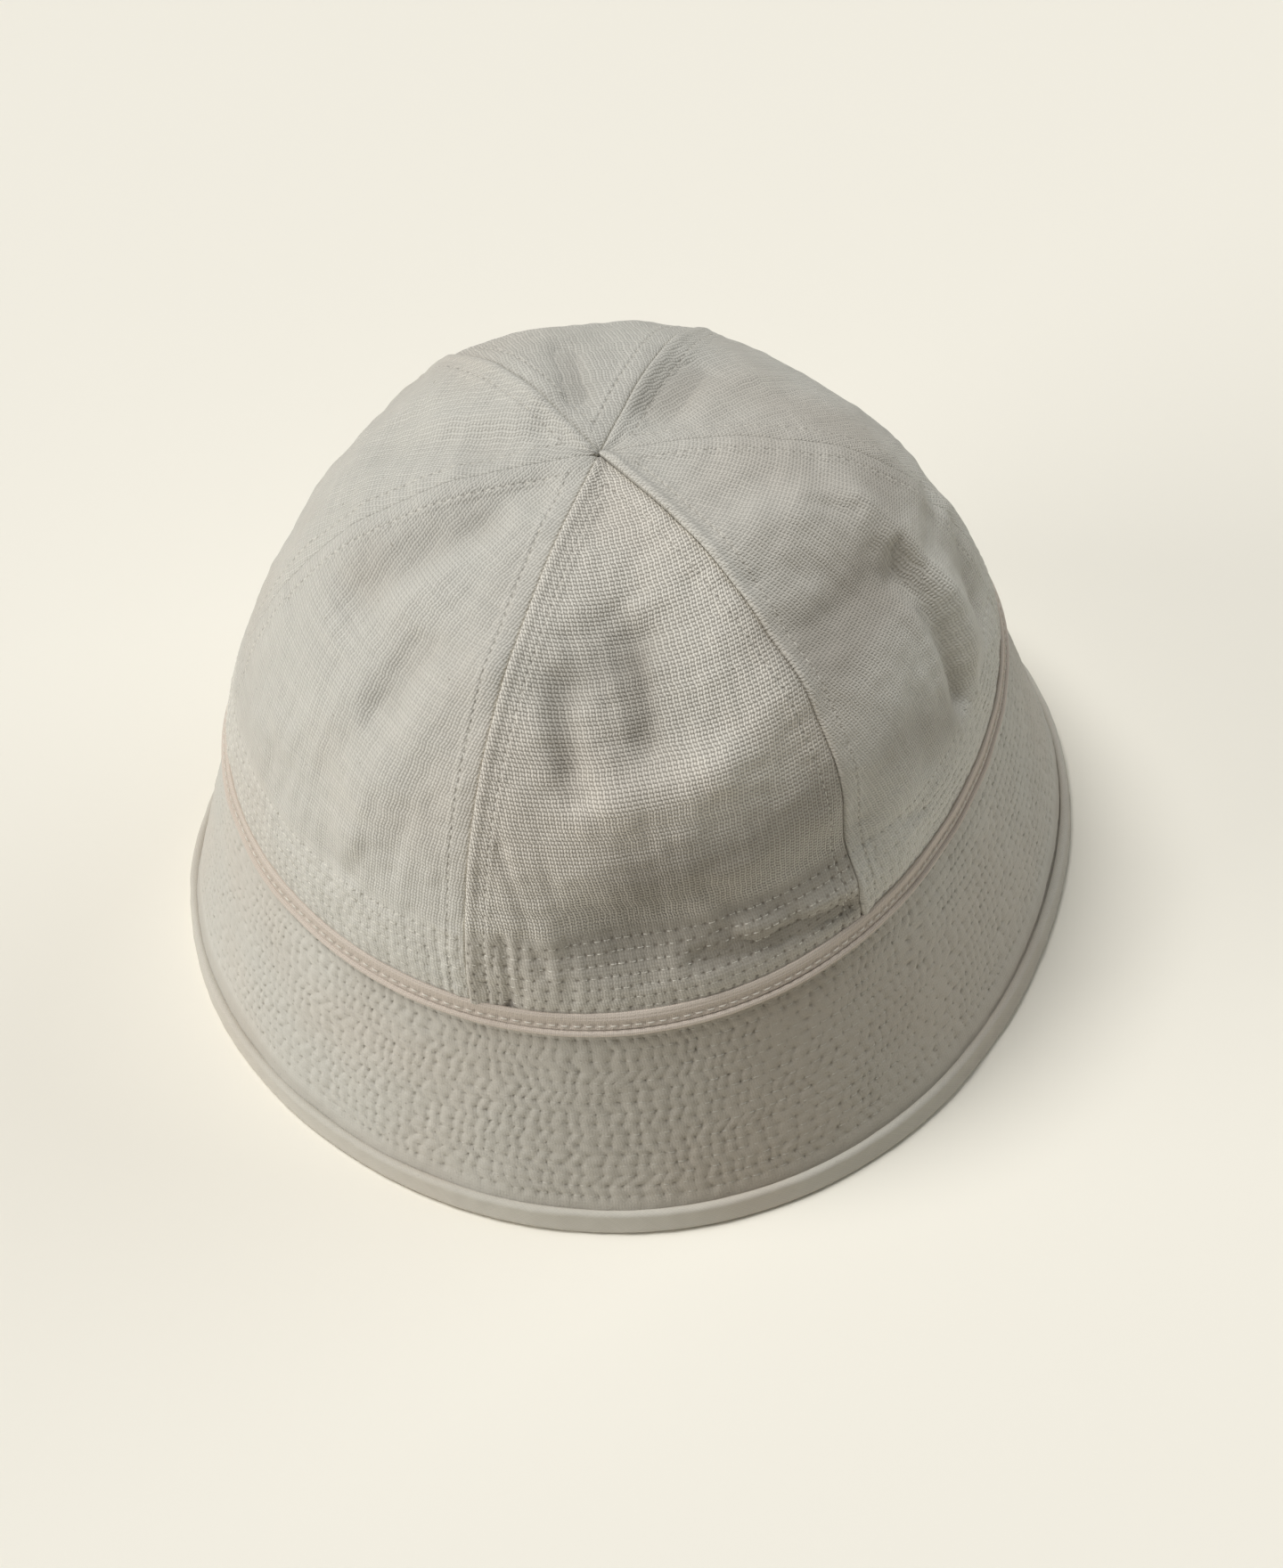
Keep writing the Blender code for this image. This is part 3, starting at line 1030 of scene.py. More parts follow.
@dataclass(frozen=True)
class Needlework:
    """How rows of stitches show in a finish. The flat map counts stitches one way and rows the other."""

    chart: str
    rows: int
    first_row: int = 0
    hole_width: float = 0.13
    hole_height: float = 0.15
    darkness: float = 0.35
    relief: float = 0.22
    rib: float = 0.0
    reach: float = 0.7
    full: float = 0.1

    def marks(self, shader: Shader) -> tuple[Field, Field]:
        """Needle holes, and the pull of the thread between them.

        Args:
            shader: The shader that the nodes go in.

        Returns:
            How much of a hole there is, and how far the cloth is pulled in, both from 0 to 1.
        """
        count, row = shader.flat(self.chart)
        ahead = shader.maths("ABSOLUTE", count - shader.maths("ROUND", count))
        last = float(self.first_row + self.rows - 1)
        near = shader.maths("MAXIMUM", shader.maths("ROUND", row), float(self.first_row))
        near = shader.maths("MINIMUM", near, last)
        beside = shader.maths("ABSOLUTE", row - near)
        away = (ahead / self.hole_width) ** 2 + (beside / self.hole_height) ** 2
        hole = shader.maths("EXPONENT", away * -1.0)
        inside = shader.ease(row, self.first_row - self.reach, self.first_row - self.full)
        inside = inside * shader.ease(row, last + self.reach, last + self.full)
        rib = 1.0 - shader.maths("ABSOLUTE", shader.maths("SINE", count * math.pi))
        return hole, hole + rib * inside * self.rib


@dataclass(frozen=True)
class Weave:
    """How threads wander: how far, how often in a metre and, for warps, how often in a weft thread."""

    wander_often: float = 45.0
    wander_warp: float = 0.3
    wander_weft: float = 0.12
    slip_often: tuple[float, float] = (14.0, 0.28)
    slip: float = 1.2
    loose_often: tuple[float, float] = (300.0, 0.9)
    loose: float = 0.5
    single: float = 0.22
    crossing: float = 0.44
    over: float = 0.12
    gap_starts: float = 0.52
    gap_full: float = 0.12


@dataclass(frozen=True)
class Mottle:
    """Where the colour varies: how often each kind of mark comes a metre, and its thresholds."""

    slub_a_metre: float = 35.0
    slub_a_thread: float = 0.9
    rib_a_metre: float = 30.0
    rib: float = 1.4
    cloud_a_metre: float = 38.0
    patch_a_metre: float = 17.0
    patch: tuple[float, float] = (0.40, 0.68)
    speck_across: float = 900.0
    speck_along: float = 1300.0
    speck: tuple[float, float] = (0.70, 0.76)
    spot_a_metre: float = 160.0
    spot: tuple[float, float] = (0.50, 0.60)
    fleck: Colour = (110, 96, 80)
    fuzz_a_metre: float = 1900.0
    rough_a_metre: float = 90.0


@dataclass(frozen=True)
class CanvasFinish:
    """Undyed canvas: a plain weave with uneven threads, flecks and small dark gaps."""

    name: str
    thread: Colour
    gap: Colour
    warp: float = 0.67 * MM
    weft: float = 0.97 * MM
    lean: float = 0.15
    gap_share: float = 0.75
    weave_relief: float = 0.12 * MM
    fuzz: float = 0.05 * MM
    streak: float = 0.10
    cloud: float = 0.06
    flecks: float = 0.5
    warmth: Colour = (196, 180, 163)
    warm_share: float = 0.25
    # Painted shade: a darker cloth colour for folds and creases, and on the brim also real soil from
    # handling.
    shade_and_soil_colour: Colour = (170, 152, 132)
    shade_and_soil_share: float = 0.0
    pressed: float = 0.65
    needlework: tuple[Needlework, ...] = ()
    weave: Weave = Weave()
    mottle: Mottle = Mottle()

    def material(self) -> bpy.types.Material:
        """Makes the finish.

        Returns:
            Its material.
        """
        shader = Shader(self.name)
        across, along = shader.flat("weave")
        body = shader.add("ShaderNodeTexCoord", {}, {}, "Object")
        height, gaps = self.threads(shader, across, along)
        colour = self.thread_colour(shader, across, along, body)
        if self.shade_and_soil_share:
            # Painted shade: the cloth is darkened by the first value of its map, mostly in folds; on the
            # brim this also holds real soil from handling.
            shade_and_soil_amount, sewn = shader.flat("shade_and_soil_map")
            colour = shader.blend(shade_and_soil_amount * self.shade_and_soil_share, colour, paint(self.shade_and_soil_colour))
            left = 1.0 - sewn * self.pressed
            height, gaps = height * left, gaps * left
        colour = shader.blend(gaps * self.gap_share, colour, paint(self.gap))
        relief = height * self.weave_relief
        for work in self.needlework:
            hole, pull = work.marks(shader)
            colour = shader.blend(hole * work.darkness, colour, paint(self.gap))
            relief = relief - pull * (work.relief * MM)
        relief = relief + shader.noise(body, self.mottle.fuzz_a_metre, detail=3.0, rough=0.6) * self.fuzz
        return shader.finish(
            {
                "Base Color": colour,
                "Normal": shader.bump(relief),
                "Roughness": 0.95 - shader.noise(body, self.mottle.rough_a_metre) * 0.12,
                "Specular IOR Level": 0.18,
                "Sheen Weight": 0.12,
                "Sheen Roughness": 0.55,
            }
        )

    def threads(self, shader: Shader, across: Field, along: Field) -> tuple[Field, Field]:
        """The plain weave.

        Args:
            shader: The shader that the nodes go in.
            across: Distances across the grain, in metres.
            along: Distances along it, in metres.

        Returns:
            The threads' height from 0 to 1, and how much of a gap there is between them.
        """
        weave = self.weave
        wefts = along / self.weft
        often = weave.wander_often
        wander = shader.noise(shader.join(across * often, along * often), 1.0, 1.0) - 0.5
        slip, loose = (
            shader.noise(shader.join(across * a_metre, wefts * a_weft), 1.0, 0.0) - 0.5
            for a_metre, a_weft in (weave.slip_often, weave.loose_often)
        )
        turn_warp = across / self.warp + wefts * self.lean
        turn_warp = turn_warp + wander * weave.wander_warp + slip * weave.slip + loose * weave.loose
        turn_warp = turn_warp * math.pi
        turn_weft = (wefts + wander * weave.wander_weft) * math.pi
        over = shader.maths("SINE", turn_warp + turn_weft * 2.0)
        warp, weft = (
            shader.maths("ABSOLUTE", shader.maths("SINE", turn)) for turn in (turn_warp, turn_weft)
        )
        height = warp * weave.single + weft * weave.single + warp * weft * weave.crossing
        height = height + over * weave.over
        return height, shader.ease(height, weave.gap_starts, weave.gap_full)

    def thread_colour(self, shader: Shader, across: Field, along: Field, body: Field) -> Field:
        """The threads' colour: streaks of thicker thread, soft clouds, warm patches and flecks.

        Args:
            shader: The shader that the nodes go in.
            across: Distances across the grain, in metres.
            along: Distances along it, in metres.
            body: Places in the hat's own space.

        Returns:
            The colour.
        """
        look = self.mottle
        thread = look.slub_a_thread
        slub = shader.join(across * look.slub_a_metre, along / self.weft * thread)
        rib = shader.join(across / self.warp * thread, along * look.rib_a_metre)
        slub, rib = (shader.noise(place, 1.0, 2.0) - 0.5 for place in (slub, rib))
        cloud = shader.noise(body, look.cloud_a_metre, 3.0)
        patch = shader.ease(shader.noise(body, look.patch_a_metre, 2.0), *look.patch)
        light = slub * self.streak * 2 + rib * self.streak * look.rib
        light = 1.0 + light + (cloud - 0.5) * (self.cloud * 2)
        base = shader.blend(patch * self.warm_share, paint(self.thread), paint(self.warmth))
        base = shader.blend(1.0, base, shader.join(light, light, light), "MULTIPLY")
        speck = shader.join(across * look.speck_across, along * look.speck_along)
        spot = shader.join(across * look.spot_a_metre, along * look.spot_a_metre)
        speck, spot = (shader.noise(place, 1.0, 1.0) for place in (speck, spot))
        fleck = shader.ease(speck, *look.speck) * shader.ease(spot, *look.spot)
        return shader.blend(fleck * self.flecks, base, paint(look.fleck))


SEAM_WORK = Needlework("seams", 1, 1, hole_width=0.28, hole_height=0.05, darkness=0.5, relief=0.10)
SIDE_BAND = Needlework("rows", 7, hole_width=0.11, hole_height=0.12, darkness=0.24, relief=0.14)
FRONT_BAND = Needlework("rows", 7, hole_width=0.14, hole_height=0.13, darkness=0.70, relief=0.20)
QUILTING = Needlework("rows", 16, hole_width=0.10, hole_height=0.11, darkness=0.33, relief=0.14, rib=0.25)
# Where a finish has a darker cloth colour for folds, it is painted shade; on the brim it also stands for
# real soil from handling at the front.
FINISHES = {
    "front": CanvasFinish(
        "front_canvas",
        (231, 226, 214),
        (116, 107, 95),
        gap_share=0.62,
        weave_relief=0.34 * MM,
        shade_and_soil_colour=(126, 119, 107),
        shade_and_soil_share=0.45,
        needlework=(FRONT_BAND, SEAM_WORK),
    ),
    "side": CanvasFinish(
        "side_canvas",
        (210, 207, 197),
        (138, 131, 119),
        warp=0.74 * MM,
        weft=0.88 * MM,
        gap_share=0.35,
        weave_relief=0.22 * MM,
        shade_and_soil_colour=(150, 142, 130),
        shade_and_soil_share=0.32,
        pressed=0.3,
        needlework=(SIDE_BAND, SEAM_WORK),
    ),
    "brim": CanvasFinish(
        "brim_canvas_quilted",
        (201, 198, 188),
        (134, 127, 114),
        gap_share=0.08,
        weave_relief=0.04 * MM,
        fuzz=0.14 * MM,
        streak=0.05,
        shade_and_soil_colour=(148, 134, 115),
        shade_and_soil_share=0.5,
        needlework=(QUILTING,),
    ),
    "tape": CanvasFinish(
        "join_tape_cotton",
        (212, 200, 187),
        (150, 138, 124),
        warp=0.45 * MM,
        weft=0.5 * MM,
        gap_share=0.35,
        weave_relief=0.08 * MM,
        streak=0.05,
        flecks=0.1,
        needlework=(Needlework("rows", 1, darkness=0.35, relief=0.12),),
    ),
    "binding": CanvasFinish(
        "binding_canvas",
        (200, 195, 183),
        (152, 145, 132),
        warp=0.55 * MM,
        weft=0.6 * MM,
        gap_share=0.15,
        weave_relief=0.03 * MM,
        streak=0.05,
        flecks=0.15,
    ),
}


@dataclass(frozen=True)
class ThreadFinish:
    """Soft cotton sewing thread, with a fine twist."""

    name: str
    colour: Colour
    shade: Colour
    twist_a_metre: float = 1500.0
    twist_relief: float = 0.06 * MM

    def material(self) -> bpy.types.Material:
        """Makes the finish.

        Returns:
            Its material.
        """
        shader = Shader(self.name)
        body = shader.add("ShaderNodeTexCoord", {}, {}, "Object")
        twist = shader.noise(body, self.twist_a_metre, 2.0)
        return shader.finish(
            {
                "Base Color": shader.blend(twist, paint(self.shade), paint(self.colour)),
                "Normal": shader.bump(twist * self.twist_relief),
                "Roughness": 0.75 + twist * 0.15,
                "Specular IOR Level": 0.25,
            }
        )


CROWN_THREAD = ThreadFinish("sewing_thread", (234, 230, 219), (200, 195, 182))
BRIM_THREAD = ThreadFinish("quilting_thread", (206, 202, 191), (180, 175, 163))


# ---------------------------------------------------------------------------------------------
# The pieces.


def dress(piece: bpy.types.Object, slot: str, material: bpy.types.Material, *nodes: str) -> None:
    """Gives a piece its material and body, and hides the imported nodes that it stands for.

    Args:
        piece: The piece.
        slot: Not used.
        material: Its finish.
        nodes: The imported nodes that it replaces, if any.
    """
    piece.data.materials.append(material)
    if nodes:
        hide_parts(*nodes)
    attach(piece, "root")
    log.info("%s: %d faces", piece.name, len(piece.data.polygons))


def pairs(first: Array, second: Array) -> Array:
    """A flat map from its two coordinates."""
    return np.stack([first, second], -1)


def waviness(ripples: tuple[Ripple, ...], points: Array) -> Array:
    """The sum of some ripples over points in space."""
    return sum(one.over(points) for one in ripples)


@dataclass(frozen=True)
class Welt:
    """The relief beside a seam: the allowance under it, a groove of stitches, and a lip or a tuck."""

    allowance: float = 0.34 * MM
    allowance_ends: tuple[float, float] = (6.4 * MM, 4.8 * MM)
    head_rises: tuple[float, float] = (0.25, 0.8)
    groove: float = 0.22 * MM
    groove_width: float = 0.6 * MM
    edge: float = 0.40 * MM
    level_edge: float = 0.16 * MM
    edge_width: float = 0.34 * MM
    lip: float = 0.75 * MM
    lip_ends: tuple[float, float] = (3.2 * MM, 1.2 * MM)
    tuck: float = 0.25 * MM
    tuck_width: float = 1.0 * MM
    level_tuck: float = 0.4

    def padding(self, distance: Array) -> Array:
        """How thick the seam allowance is at distances from the seam."""
        return self.allowance * ramp(distance, *self.allowance_ends)

    def height(self, seam: Seam, side: Lap, distance: Array, rise: Array) -> Array:
        """The relief of one gore beside a seam.

        Args:
            seam: The seam.
            side: Which side of the seam the gore is.
            distance: Distances from the seam, in metres.
            rise: Rises of the points.

        Returns:
            Heights in metres.
        """
        strength = seam.welt_foot + (seam.welt_head - seam.welt_foot) * ramp(rise, *self.head_rises)
        level = seam.lap is Lap.LEVEL
        deep = self.level_edge if level else self.edge
        base = self.padding(distance) - self.groove * bump_shape(distance - SEAM_ROW, self.groove_width)
        base = base - deep * bump_shape(distance, self.edge_width)
        if seam.lap is side:
            return base + self.lip * strength * ramp(distance, *self.lip_ends)
        tuck = self.tuck * strength * bump_shape(distance, self.tuck_width)
        return base - (tuck * self.level_tuck if level else tuck)


@dataclass
class Gore:
    """One gore of the crown, with its creases, seam edges and stitches."""

    name: str
    material: bpy.types.Material
    thread: bpy.types.Material
    wall: float = 1.5 * MM
    foot: float = 3.0 * MM
    gap: float = 0.04 * MM
    top: float = 0.9992
    row_spread: tuple[float, float] = (0.80, 0.20)
    rows: int = 213
    columns: int = 159
    edge_columns: int = 24
    edge_share: float = 0.085
    step: int = 3
    welt: Welt = Welt()
    pull: float = 0.42 * MM
    uneven: tuple[Ripple, ...] = (Ripple(15 * MM, 0.24 * MM, 3), Ripple(6 * MM, 0.10 * MM, 4))
    uneven_from: tuple[float, float] = (0.5 * MM, 7.0 * MM)
    crumpled: float = 0.8
    upright: Ripple = Ripple(4.0 * MM, 0.09, 9)
    level: Ripple = Ripple(4.5 * MM, 0.05, 10)
    longwise: tuple[float, float, float] = (1.0, 0.3, 0.0)
    crosswise: tuple[float, float, float] = (0.3, 1.0, 0.0)
    crumpled_from: tuple[float, float] = (4.0 * MM, 9.0 * MM)
    pucker: float = 0.07 * MM
    pucker_pitch: float = 5.2 * MM
    pucker_width: float = 3.0 * MM
    pucker_drift: Ripple = Ripple(30 * MM, 2.5, 8)
    foot_flat: tuple[float, float] = (-2.0 * MM, 1.5 * MM)
    # Painted shade: how strongly the cloth darkens in its folds and across its sewn band.
    deep_fold: float = 7 * MM
    fold_shade: float = 0.6
    band_shade: float = 0.0
    band_starts: tuple[float, float] = (-1.2, -0.2)
    band_spread: float = 0.6
    most_shade: float = 1.6
    sunk: float = 0.05 * MM
    seam_sunk: float = 0.07 * MM
    seam_room: float = 2.3
    band_margin: float = 0.012
    ahead: float = 0.5 * MM
    turn_ahead: float = 0.005
    dash: float = 1.75 * MM

    def __post_init__(self) -> None:
        """Finds the gore's two seams."""
        self.first, self.second = HAT.gore_seams(self.name)

    def shares(self) -> Array:
        """Where the columns lie between the seams, closer together near them.

        Returns:
            Shares from 0 at the first seam to 1 at the second.
        """
        edge = np.linspace(0, self.edge_share, self.edge_columns, endpoint=False)
        inner = self.columns - 2 * self.edge_columns
        middle = np.linspace(self.edge_share, 1 - self.edge_share, inner + 1)
        return np.concatenate([edge, middle, 1 - edge[::-1]])

    def sides(self, rise: Array) -> tuple[Array, Array]:
        """The turns of the gore's two seams at each rise."""
        return HAT.seam_turn(self.first, rise), HAT.seam_turn(self.second, rise)

    def grid(self, gap: float) -> tuple[Array, Array]:
        """The gore's points, from its foot to the apex.

        Args:
            gap: How far the points stop short of the seams, in metres.

        Returns:
            Their turns and their alongs.
        """
        steps = np.linspace(0, 1, self.rows)
        rise = self.top * (self.row_spread[0] * steps + self.row_spread[1] * steps**2)
        rise = np.concatenate([[0.0], rise])
        trim = gap / HAT.crown_radius(rise)
        first, second = self.sides(rise)
        low, high = first + trim, second - trim
        turn = low[:, None] + (high - low)[:, None] * self.shares()
        along = np.broadcast_to(rise[:, None], turn.shape).copy()
        along[0] = HAT.below_join(turn[0], self.foot)
        return turn, along

    @staticmethod
    def lengths(turn: Array, along: Array) -> Array:
        """How far each point is up its column from the join line, over the surface.

        Args:
            turn: Turns of the gore's points.
            along: Alongs of its points.

        Returns:
            Lengths in metres, negative below the join line.
        """
        points = HAT.crown_point(turn, np.clip(along, 0, 1), folded=False)
        points[0] = HAT.bare_point(turn[:1], along[:1])[0]
        steps = np.linalg.norm(np.diff(points, axis=0), axis=-1)
        total = np.concatenate([np.zeros((1, turn.shape[1])), np.cumsum(steps, axis=0)])
        return total - total[1]

    def relief(self, turn: Array, along: Array, length: Array) -> tuple[Array, dict[str, Array]]:
        """The gore's small relief, and the flat maps that its finish reads.

        Args:
            turn: Turns of the points.
            along: Alongs of the points.
            length: Distances up from the join line.

        Returns:
            Heights in metres, and the maps by name.
        """
        rise = np.clip(along, 0, 1)
        radius = HAT.crown_radius(rise)
        first, second = self.sides(rise)
        to_first, to_second = (turn - first) * radius, (second - turn) * radius
        near = np.minimum(to_first, to_second)
        row = BAND_ROWS.row_of(length)
        phase = BAND_ROWS.phase(turn, row)
        points = HAT.point(turn, along)
        flat = np.stack([(turn - (first + second) / 2) * radius, length, np.zeros_like(length)], -1)
        creases = HAT.fold_depth(FINE_FOLDS, turn, rise)
        stand = -creases
        stand += self.welt.height(self.first, Lap.SECOND, to_first, rise)
        stand += self.welt.height(self.second, Lap.FIRST, to_second, rise)
        stand -= self.pull * BAND_ROWS.relief(phase, row)
        stand += waviness(self.uneven, points) * ramp(length, *self.uneven_from)
        crumple = self.upright.over(flat * self.longwise) + self.level.over(flat * self.crosswise)
        stand += self.crumpled * MM * ramp(near, *self.crumpled_from) * crumple
        pucker = np.cos(TURN * length / self.pucker_pitch + self.pucker_drift.over(points))
        stand += self.pucker * pucker * bump_shape(near - SEAM_ROW, self.pucker_width)
        stand = stand * ramp(length, *self.foot_flat)
        # Painted shade: darker cloth in the deeper folds, in the grey patches and across the sewn band.
        shade_and_soil_amount = (HAT.fold_depth(MAIN_FOLDS, turn, rise) + creases) / self.deep_fold
        shade_and_soil_amount = np.clip(shade_and_soil_amount, 0, self.fold_shade) + HAT.fold_depth(PAINTED_SHADE_PATCHES, turn, rise) / MM
        top, spread = BAND_ROWS.rows, self.band_spread
        sewn = ramp(row, *self.band_starts) * ramp(row, top + spread, top - spread)
        maps = {
            "weave": flat[..., :2],
            "rows": pairs(phase, row),
            "seams": pairs(length / SEAM_STITCH, near / SEAM_ROW),
            "shade_and_soil_map": pairs(np.clip(shade_and_soil_amount + self.band_shade * sewn, 0, self.most_shade), sewn),
        }
        return stand, maps

    def build(self) -> None:
        """Builds and dresses the gore and its stitches."""
        turn, along = self.grid(self.gap)
        stand, maps = self.relief(turn, along, self.lengths(turn, along))
        outer = Cloth(HAT.point(turn, along, stand), maps)
        pick = np.s_[:: self.step, :: self.step]
        inner_turn, inner_along = (values[pick] for values in self.grid(0.0))
        padding = self.welt.padding(maps["seams"][pick][..., 1] * SEAM_ROW)
        inside = HAT.point(inner_turn, inner_along, -self.wall - padding)
        inner = Cloth(inside, {key: value[pick] for key, value in maps.items()})
        piece = MeshMaker.wall("gore_" + self.name, outer, inner, self.step)
        dress(piece, "crown_canvas", self.material, "crown_panel_" + self.name)
        self.sew(turn, along, maps["weave"][..., 1])

    def sew(self, turn: Array, along: Array, length: Array) -> None:
        """Adds the gore's stitches: two rows beside its seams, and the rows of the band.

        Args:
            turn: Turns of the gore's points.
            along: Alongs of its points.
            length: Their distances up from the join line.
        """
        spots = []
        rise = np.clip(along[1:, 0], 0, 1)
        radius = HAT.crown_radius(rise)
        wide = radius * (turn[1:, -1] - turn[1:, 0]) > self.seam_room * SEAM_ROW
        for seam_turn, sign, column in zip(self.sides(rise), (1.0, -1.0), (0, -1)):
            path = seam_turn + sign * SEAM_ROW / radius
            reach = length[1:, column]
            wanted = (np.arange(2, int(reach[wide].max() / SEAM_STITCH)) + 0.5) * SEAM_STITCH
            ways = [
                np.interp(at, reach, values)
                for at in (wanted, wanted + self.ahead)
                for values in (path, along[1:, 0])
            ]
            spots.append([*ways, np.full_like(wanted, self.seam_sunk)])
        for row in range(BAND_ROWS.rows):
            t = BAND_ROWS.centres(row, turn[1, 0], turn[1, -1])
            height = BAND_ROWS.distance_of(row)
            columns = [np.interp(height, length[:, c], along[:, c]) for c in range(turn.shape[1])]
            a = np.interp(t, turn[1], columns)
            keep = (t > turn[1, 0] + self.band_margin) & (t < turn[1, -1] - self.band_margin)
            t, a = t[keep], a[keep]
            spots.append([t, a, t + self.turn_ahead, a, np.full_like(t, self.sunk)])
        t, a, next_t, next_a, sunk = np.concatenate(spots, axis=1)
        stand, _ = self.relief(t, a, self.lengths_at(t, a, turn, along, length))
        middle, run = HAT.point(t, a, stand - sunk), HAT.heading(t, a, next_t, next_a)
        piece = Thread(self.dash).dashes("stitches_" + self.name, middle, run, HAT.normal(t, a))
        dress(piece, "crown_canvas", self.thread)

    @staticmethod
    def lengths_at(t: Array, a: Array, turn: Array, along: Array, length: Array) -> Array:
        """Distances up from the join line at loose points of the gore.

        Args:
            t: Turns of the loose points.
            a: Alongs of the loose points.
            turn: Turns of the gore's points.
            along: Alongs of the gore's points.
            length: Distances of the gore's points up from the join line.

        Returns:
            Distances in metres.
        """
        low, high = (np.interp(a, along[1:, 0], turn[1:, side]) for side in (0, -1))
        column = np.clip((t - low) / (high - low), 0, 1) * (turn.shape[1] - 1)
        return bilinear(length, np.interp(a, along[1:, 0], np.arange(1, len(along))), column)


def bilinear(table: Array, row: Array, column: Array) -> Array:
    """Values of a grid at places between its rows and columns.

    Args:
        table: The grid.
        row: Row numbers, which may be between rows.
        column: Column numbers, which may be between columns.

    Returns:
        The values there.
    """
    r = np.clip(row.astype(int), 0, table.shape[0] - 2)
    c = np.clip(column.astype(int), 0, table.shape[1] - 2)
    y, x = row - r, column - c
    low, high = (table[r + n, c] * (1 - x) + table[r + n, c + 1] * x for n in (0, 1))
    return low * (1 - y) + high * y


@dataclass
class Brim:
    """The quilted cone below the join."""

    material: bpy.types.Material
    thread: bpy.types.Material
    wall: float = 2.4 * MM
    top: float = 3.3 * MM
    top_fade: float = 3.0 * MM
    lift: float = 1.9 * MM
    rows: int = 78
    columns: int = 1080
    step: int = 3
    pull: float = 0.50 * MM
    pull_varies: tuple[Ripple, ...] = (Ripple(10 * MM, 0.35, 24), Ripple(5 * MM, 0.25, 25))
    uneven: tuple[Ripple, ...] = (
        Ripple(24 * MM, 0.14 * MM, 21),
        Ripple(7 * MM, 0.05 * MM, 22),
        Ripple(3.4 * MM, 0.04 * MM, 23),
    )
    sunk: float = 0.08 * MM
    turn_ahead: float = 0.01
    dash: float = 1.9 * MM
    handled_deg: float = 8.0
    handled_width_deg: float = 36.0
    gape: float = 0.9 * MM
    gape_deg: float = 92.0
    gape_width_deg: float = 42.0
    gape_height: float = 7.9 * MM
    gape_slot: float = 0.9 * MM
    # Painted shade in the gape above the binding and along the last rows.
    gape_shade: float = 1.2
    margin_shade: float = 0.4
    margin_rows: tuple[float, float] = (15.4, 16.6)

    def relief(self, turn: Array, drop: Array) -> tuple[Array, dict[str, Array]]:
        """The brim's quilted relief and the flat maps that its finish reads.

        Args:
            turn: Turns of the points.
            drop: Distances down the slope from the join line, in metres.

        Returns:
            Heights in metres, and the maps by name.
        """
        row = BRIM_ROWS.row_of(drop)
        phase = BRIM_ROWS.phase(turn, row)
        points = HAT.point(turn, HAT.below_join(turn, drop))
        stand = -self.pull * (1 + waviness(self.pull_varies, points)) * BRIM_ROWS.relief(phase, row)
        stand += waviness(self.uneven, points)
        stand *= ramp(drop, self.top, self.top + self.top_fade)
        gaping = bump_shape(turn_apart(turn, self.gape_deg), math.radians(self.gape_width_deg))
        gaping = gaping * bump_shape(HAT.slant(turn) - drop - self.gape_height, self.gape_slot)
        stand -= self.gape * gaping
        around = turn * (HAT.head_half_width + HAT.head_half_depth + HAT.brim_flare) / 2
        # Real soil where the brim is handled at the front, and painted shade in the gape above the binding
        # and along its last rows.
        handled = turn_apart(turn, self.handled_deg)
        brim_shade_and_soil = bump_shape(handled, math.radians(self.handled_width_deg))
        brim_shade_and_soil = np.maximum(self.margin_shade * ramp(row, *self.margin_rows), brim_shade_and_soil)
        brim_shade_and_soil = brim_shade_and_soil + self.gape_shade * gaping
        maps = {
            "weave": pairs(around, -drop),
            "rows": pairs(phase, row),
            "shade_and_soil_map": pairs(brim_shade_and_soil, np.zeros_like(brim_shade_and_soil)),
        }
        return stand, maps

    def build(self) -> None:
        """Builds and dresses the brim and its stitches."""
        turn = np.linspace(0, TURN, self.columns + 1)[None, :]
        share = np.linspace(0, 1, self.rows + 1)[:, None]
        foot = HAT.slant(turn) - self.lift
        drop = foot + (self.top - foot) * share
        turn = np.broadcast_to(turn, drop.shape)
        stand, maps = self.relief(turn, drop)
        along = HAT.below_join(turn, drop)
        outer = Cloth(HAT.point(turn, along, stand), maps, wrap_columns=True)
        pick = np.s_[:: self.step, :: self.step]
        inside = HAT.point(turn[pick], along[pick], -self.wall)
        inner = Cloth(inside, {key: value[pick] for key, value in maps.items()}, wrap_columns=True)
        piece = MeshMaker.wall("quilted_brim", outer, inner, self.step)
        dress(piece, "brim_canvas", self.material, "brim")
        self.sew()

    def sew(self) -> None:
        """Adds the brim's stitches, row by row."""
        spots = []
        for row in range(BRIM_ROWS.rows):
            t = BRIM_ROWS.centres(row, 0.0, TURN)[:-1]
            spots.append([t, np.full_like(t, BRIM_ROWS.distance_of(row))])
        turn, drop = np.concatenate(spots, axis=1)
        along = HAT.below_join(turn, drop)
        stand, _ = self.relief(turn, drop)
        middle = HAT.point(turn, along, stand - self.sunk)
        run = HAT.heading(turn, along, turn + self.turn_ahead, along)
        piece = Thread(self.dash).dashes("stitches_brim", middle, run, HAT.normal(turn, along))
        dress(piece, "brim_canvas", self.thread)


# A strip's section in millimetres: how far along the slope each point is, and how far out.
Profile = tuple[tuple[float, float], ...]


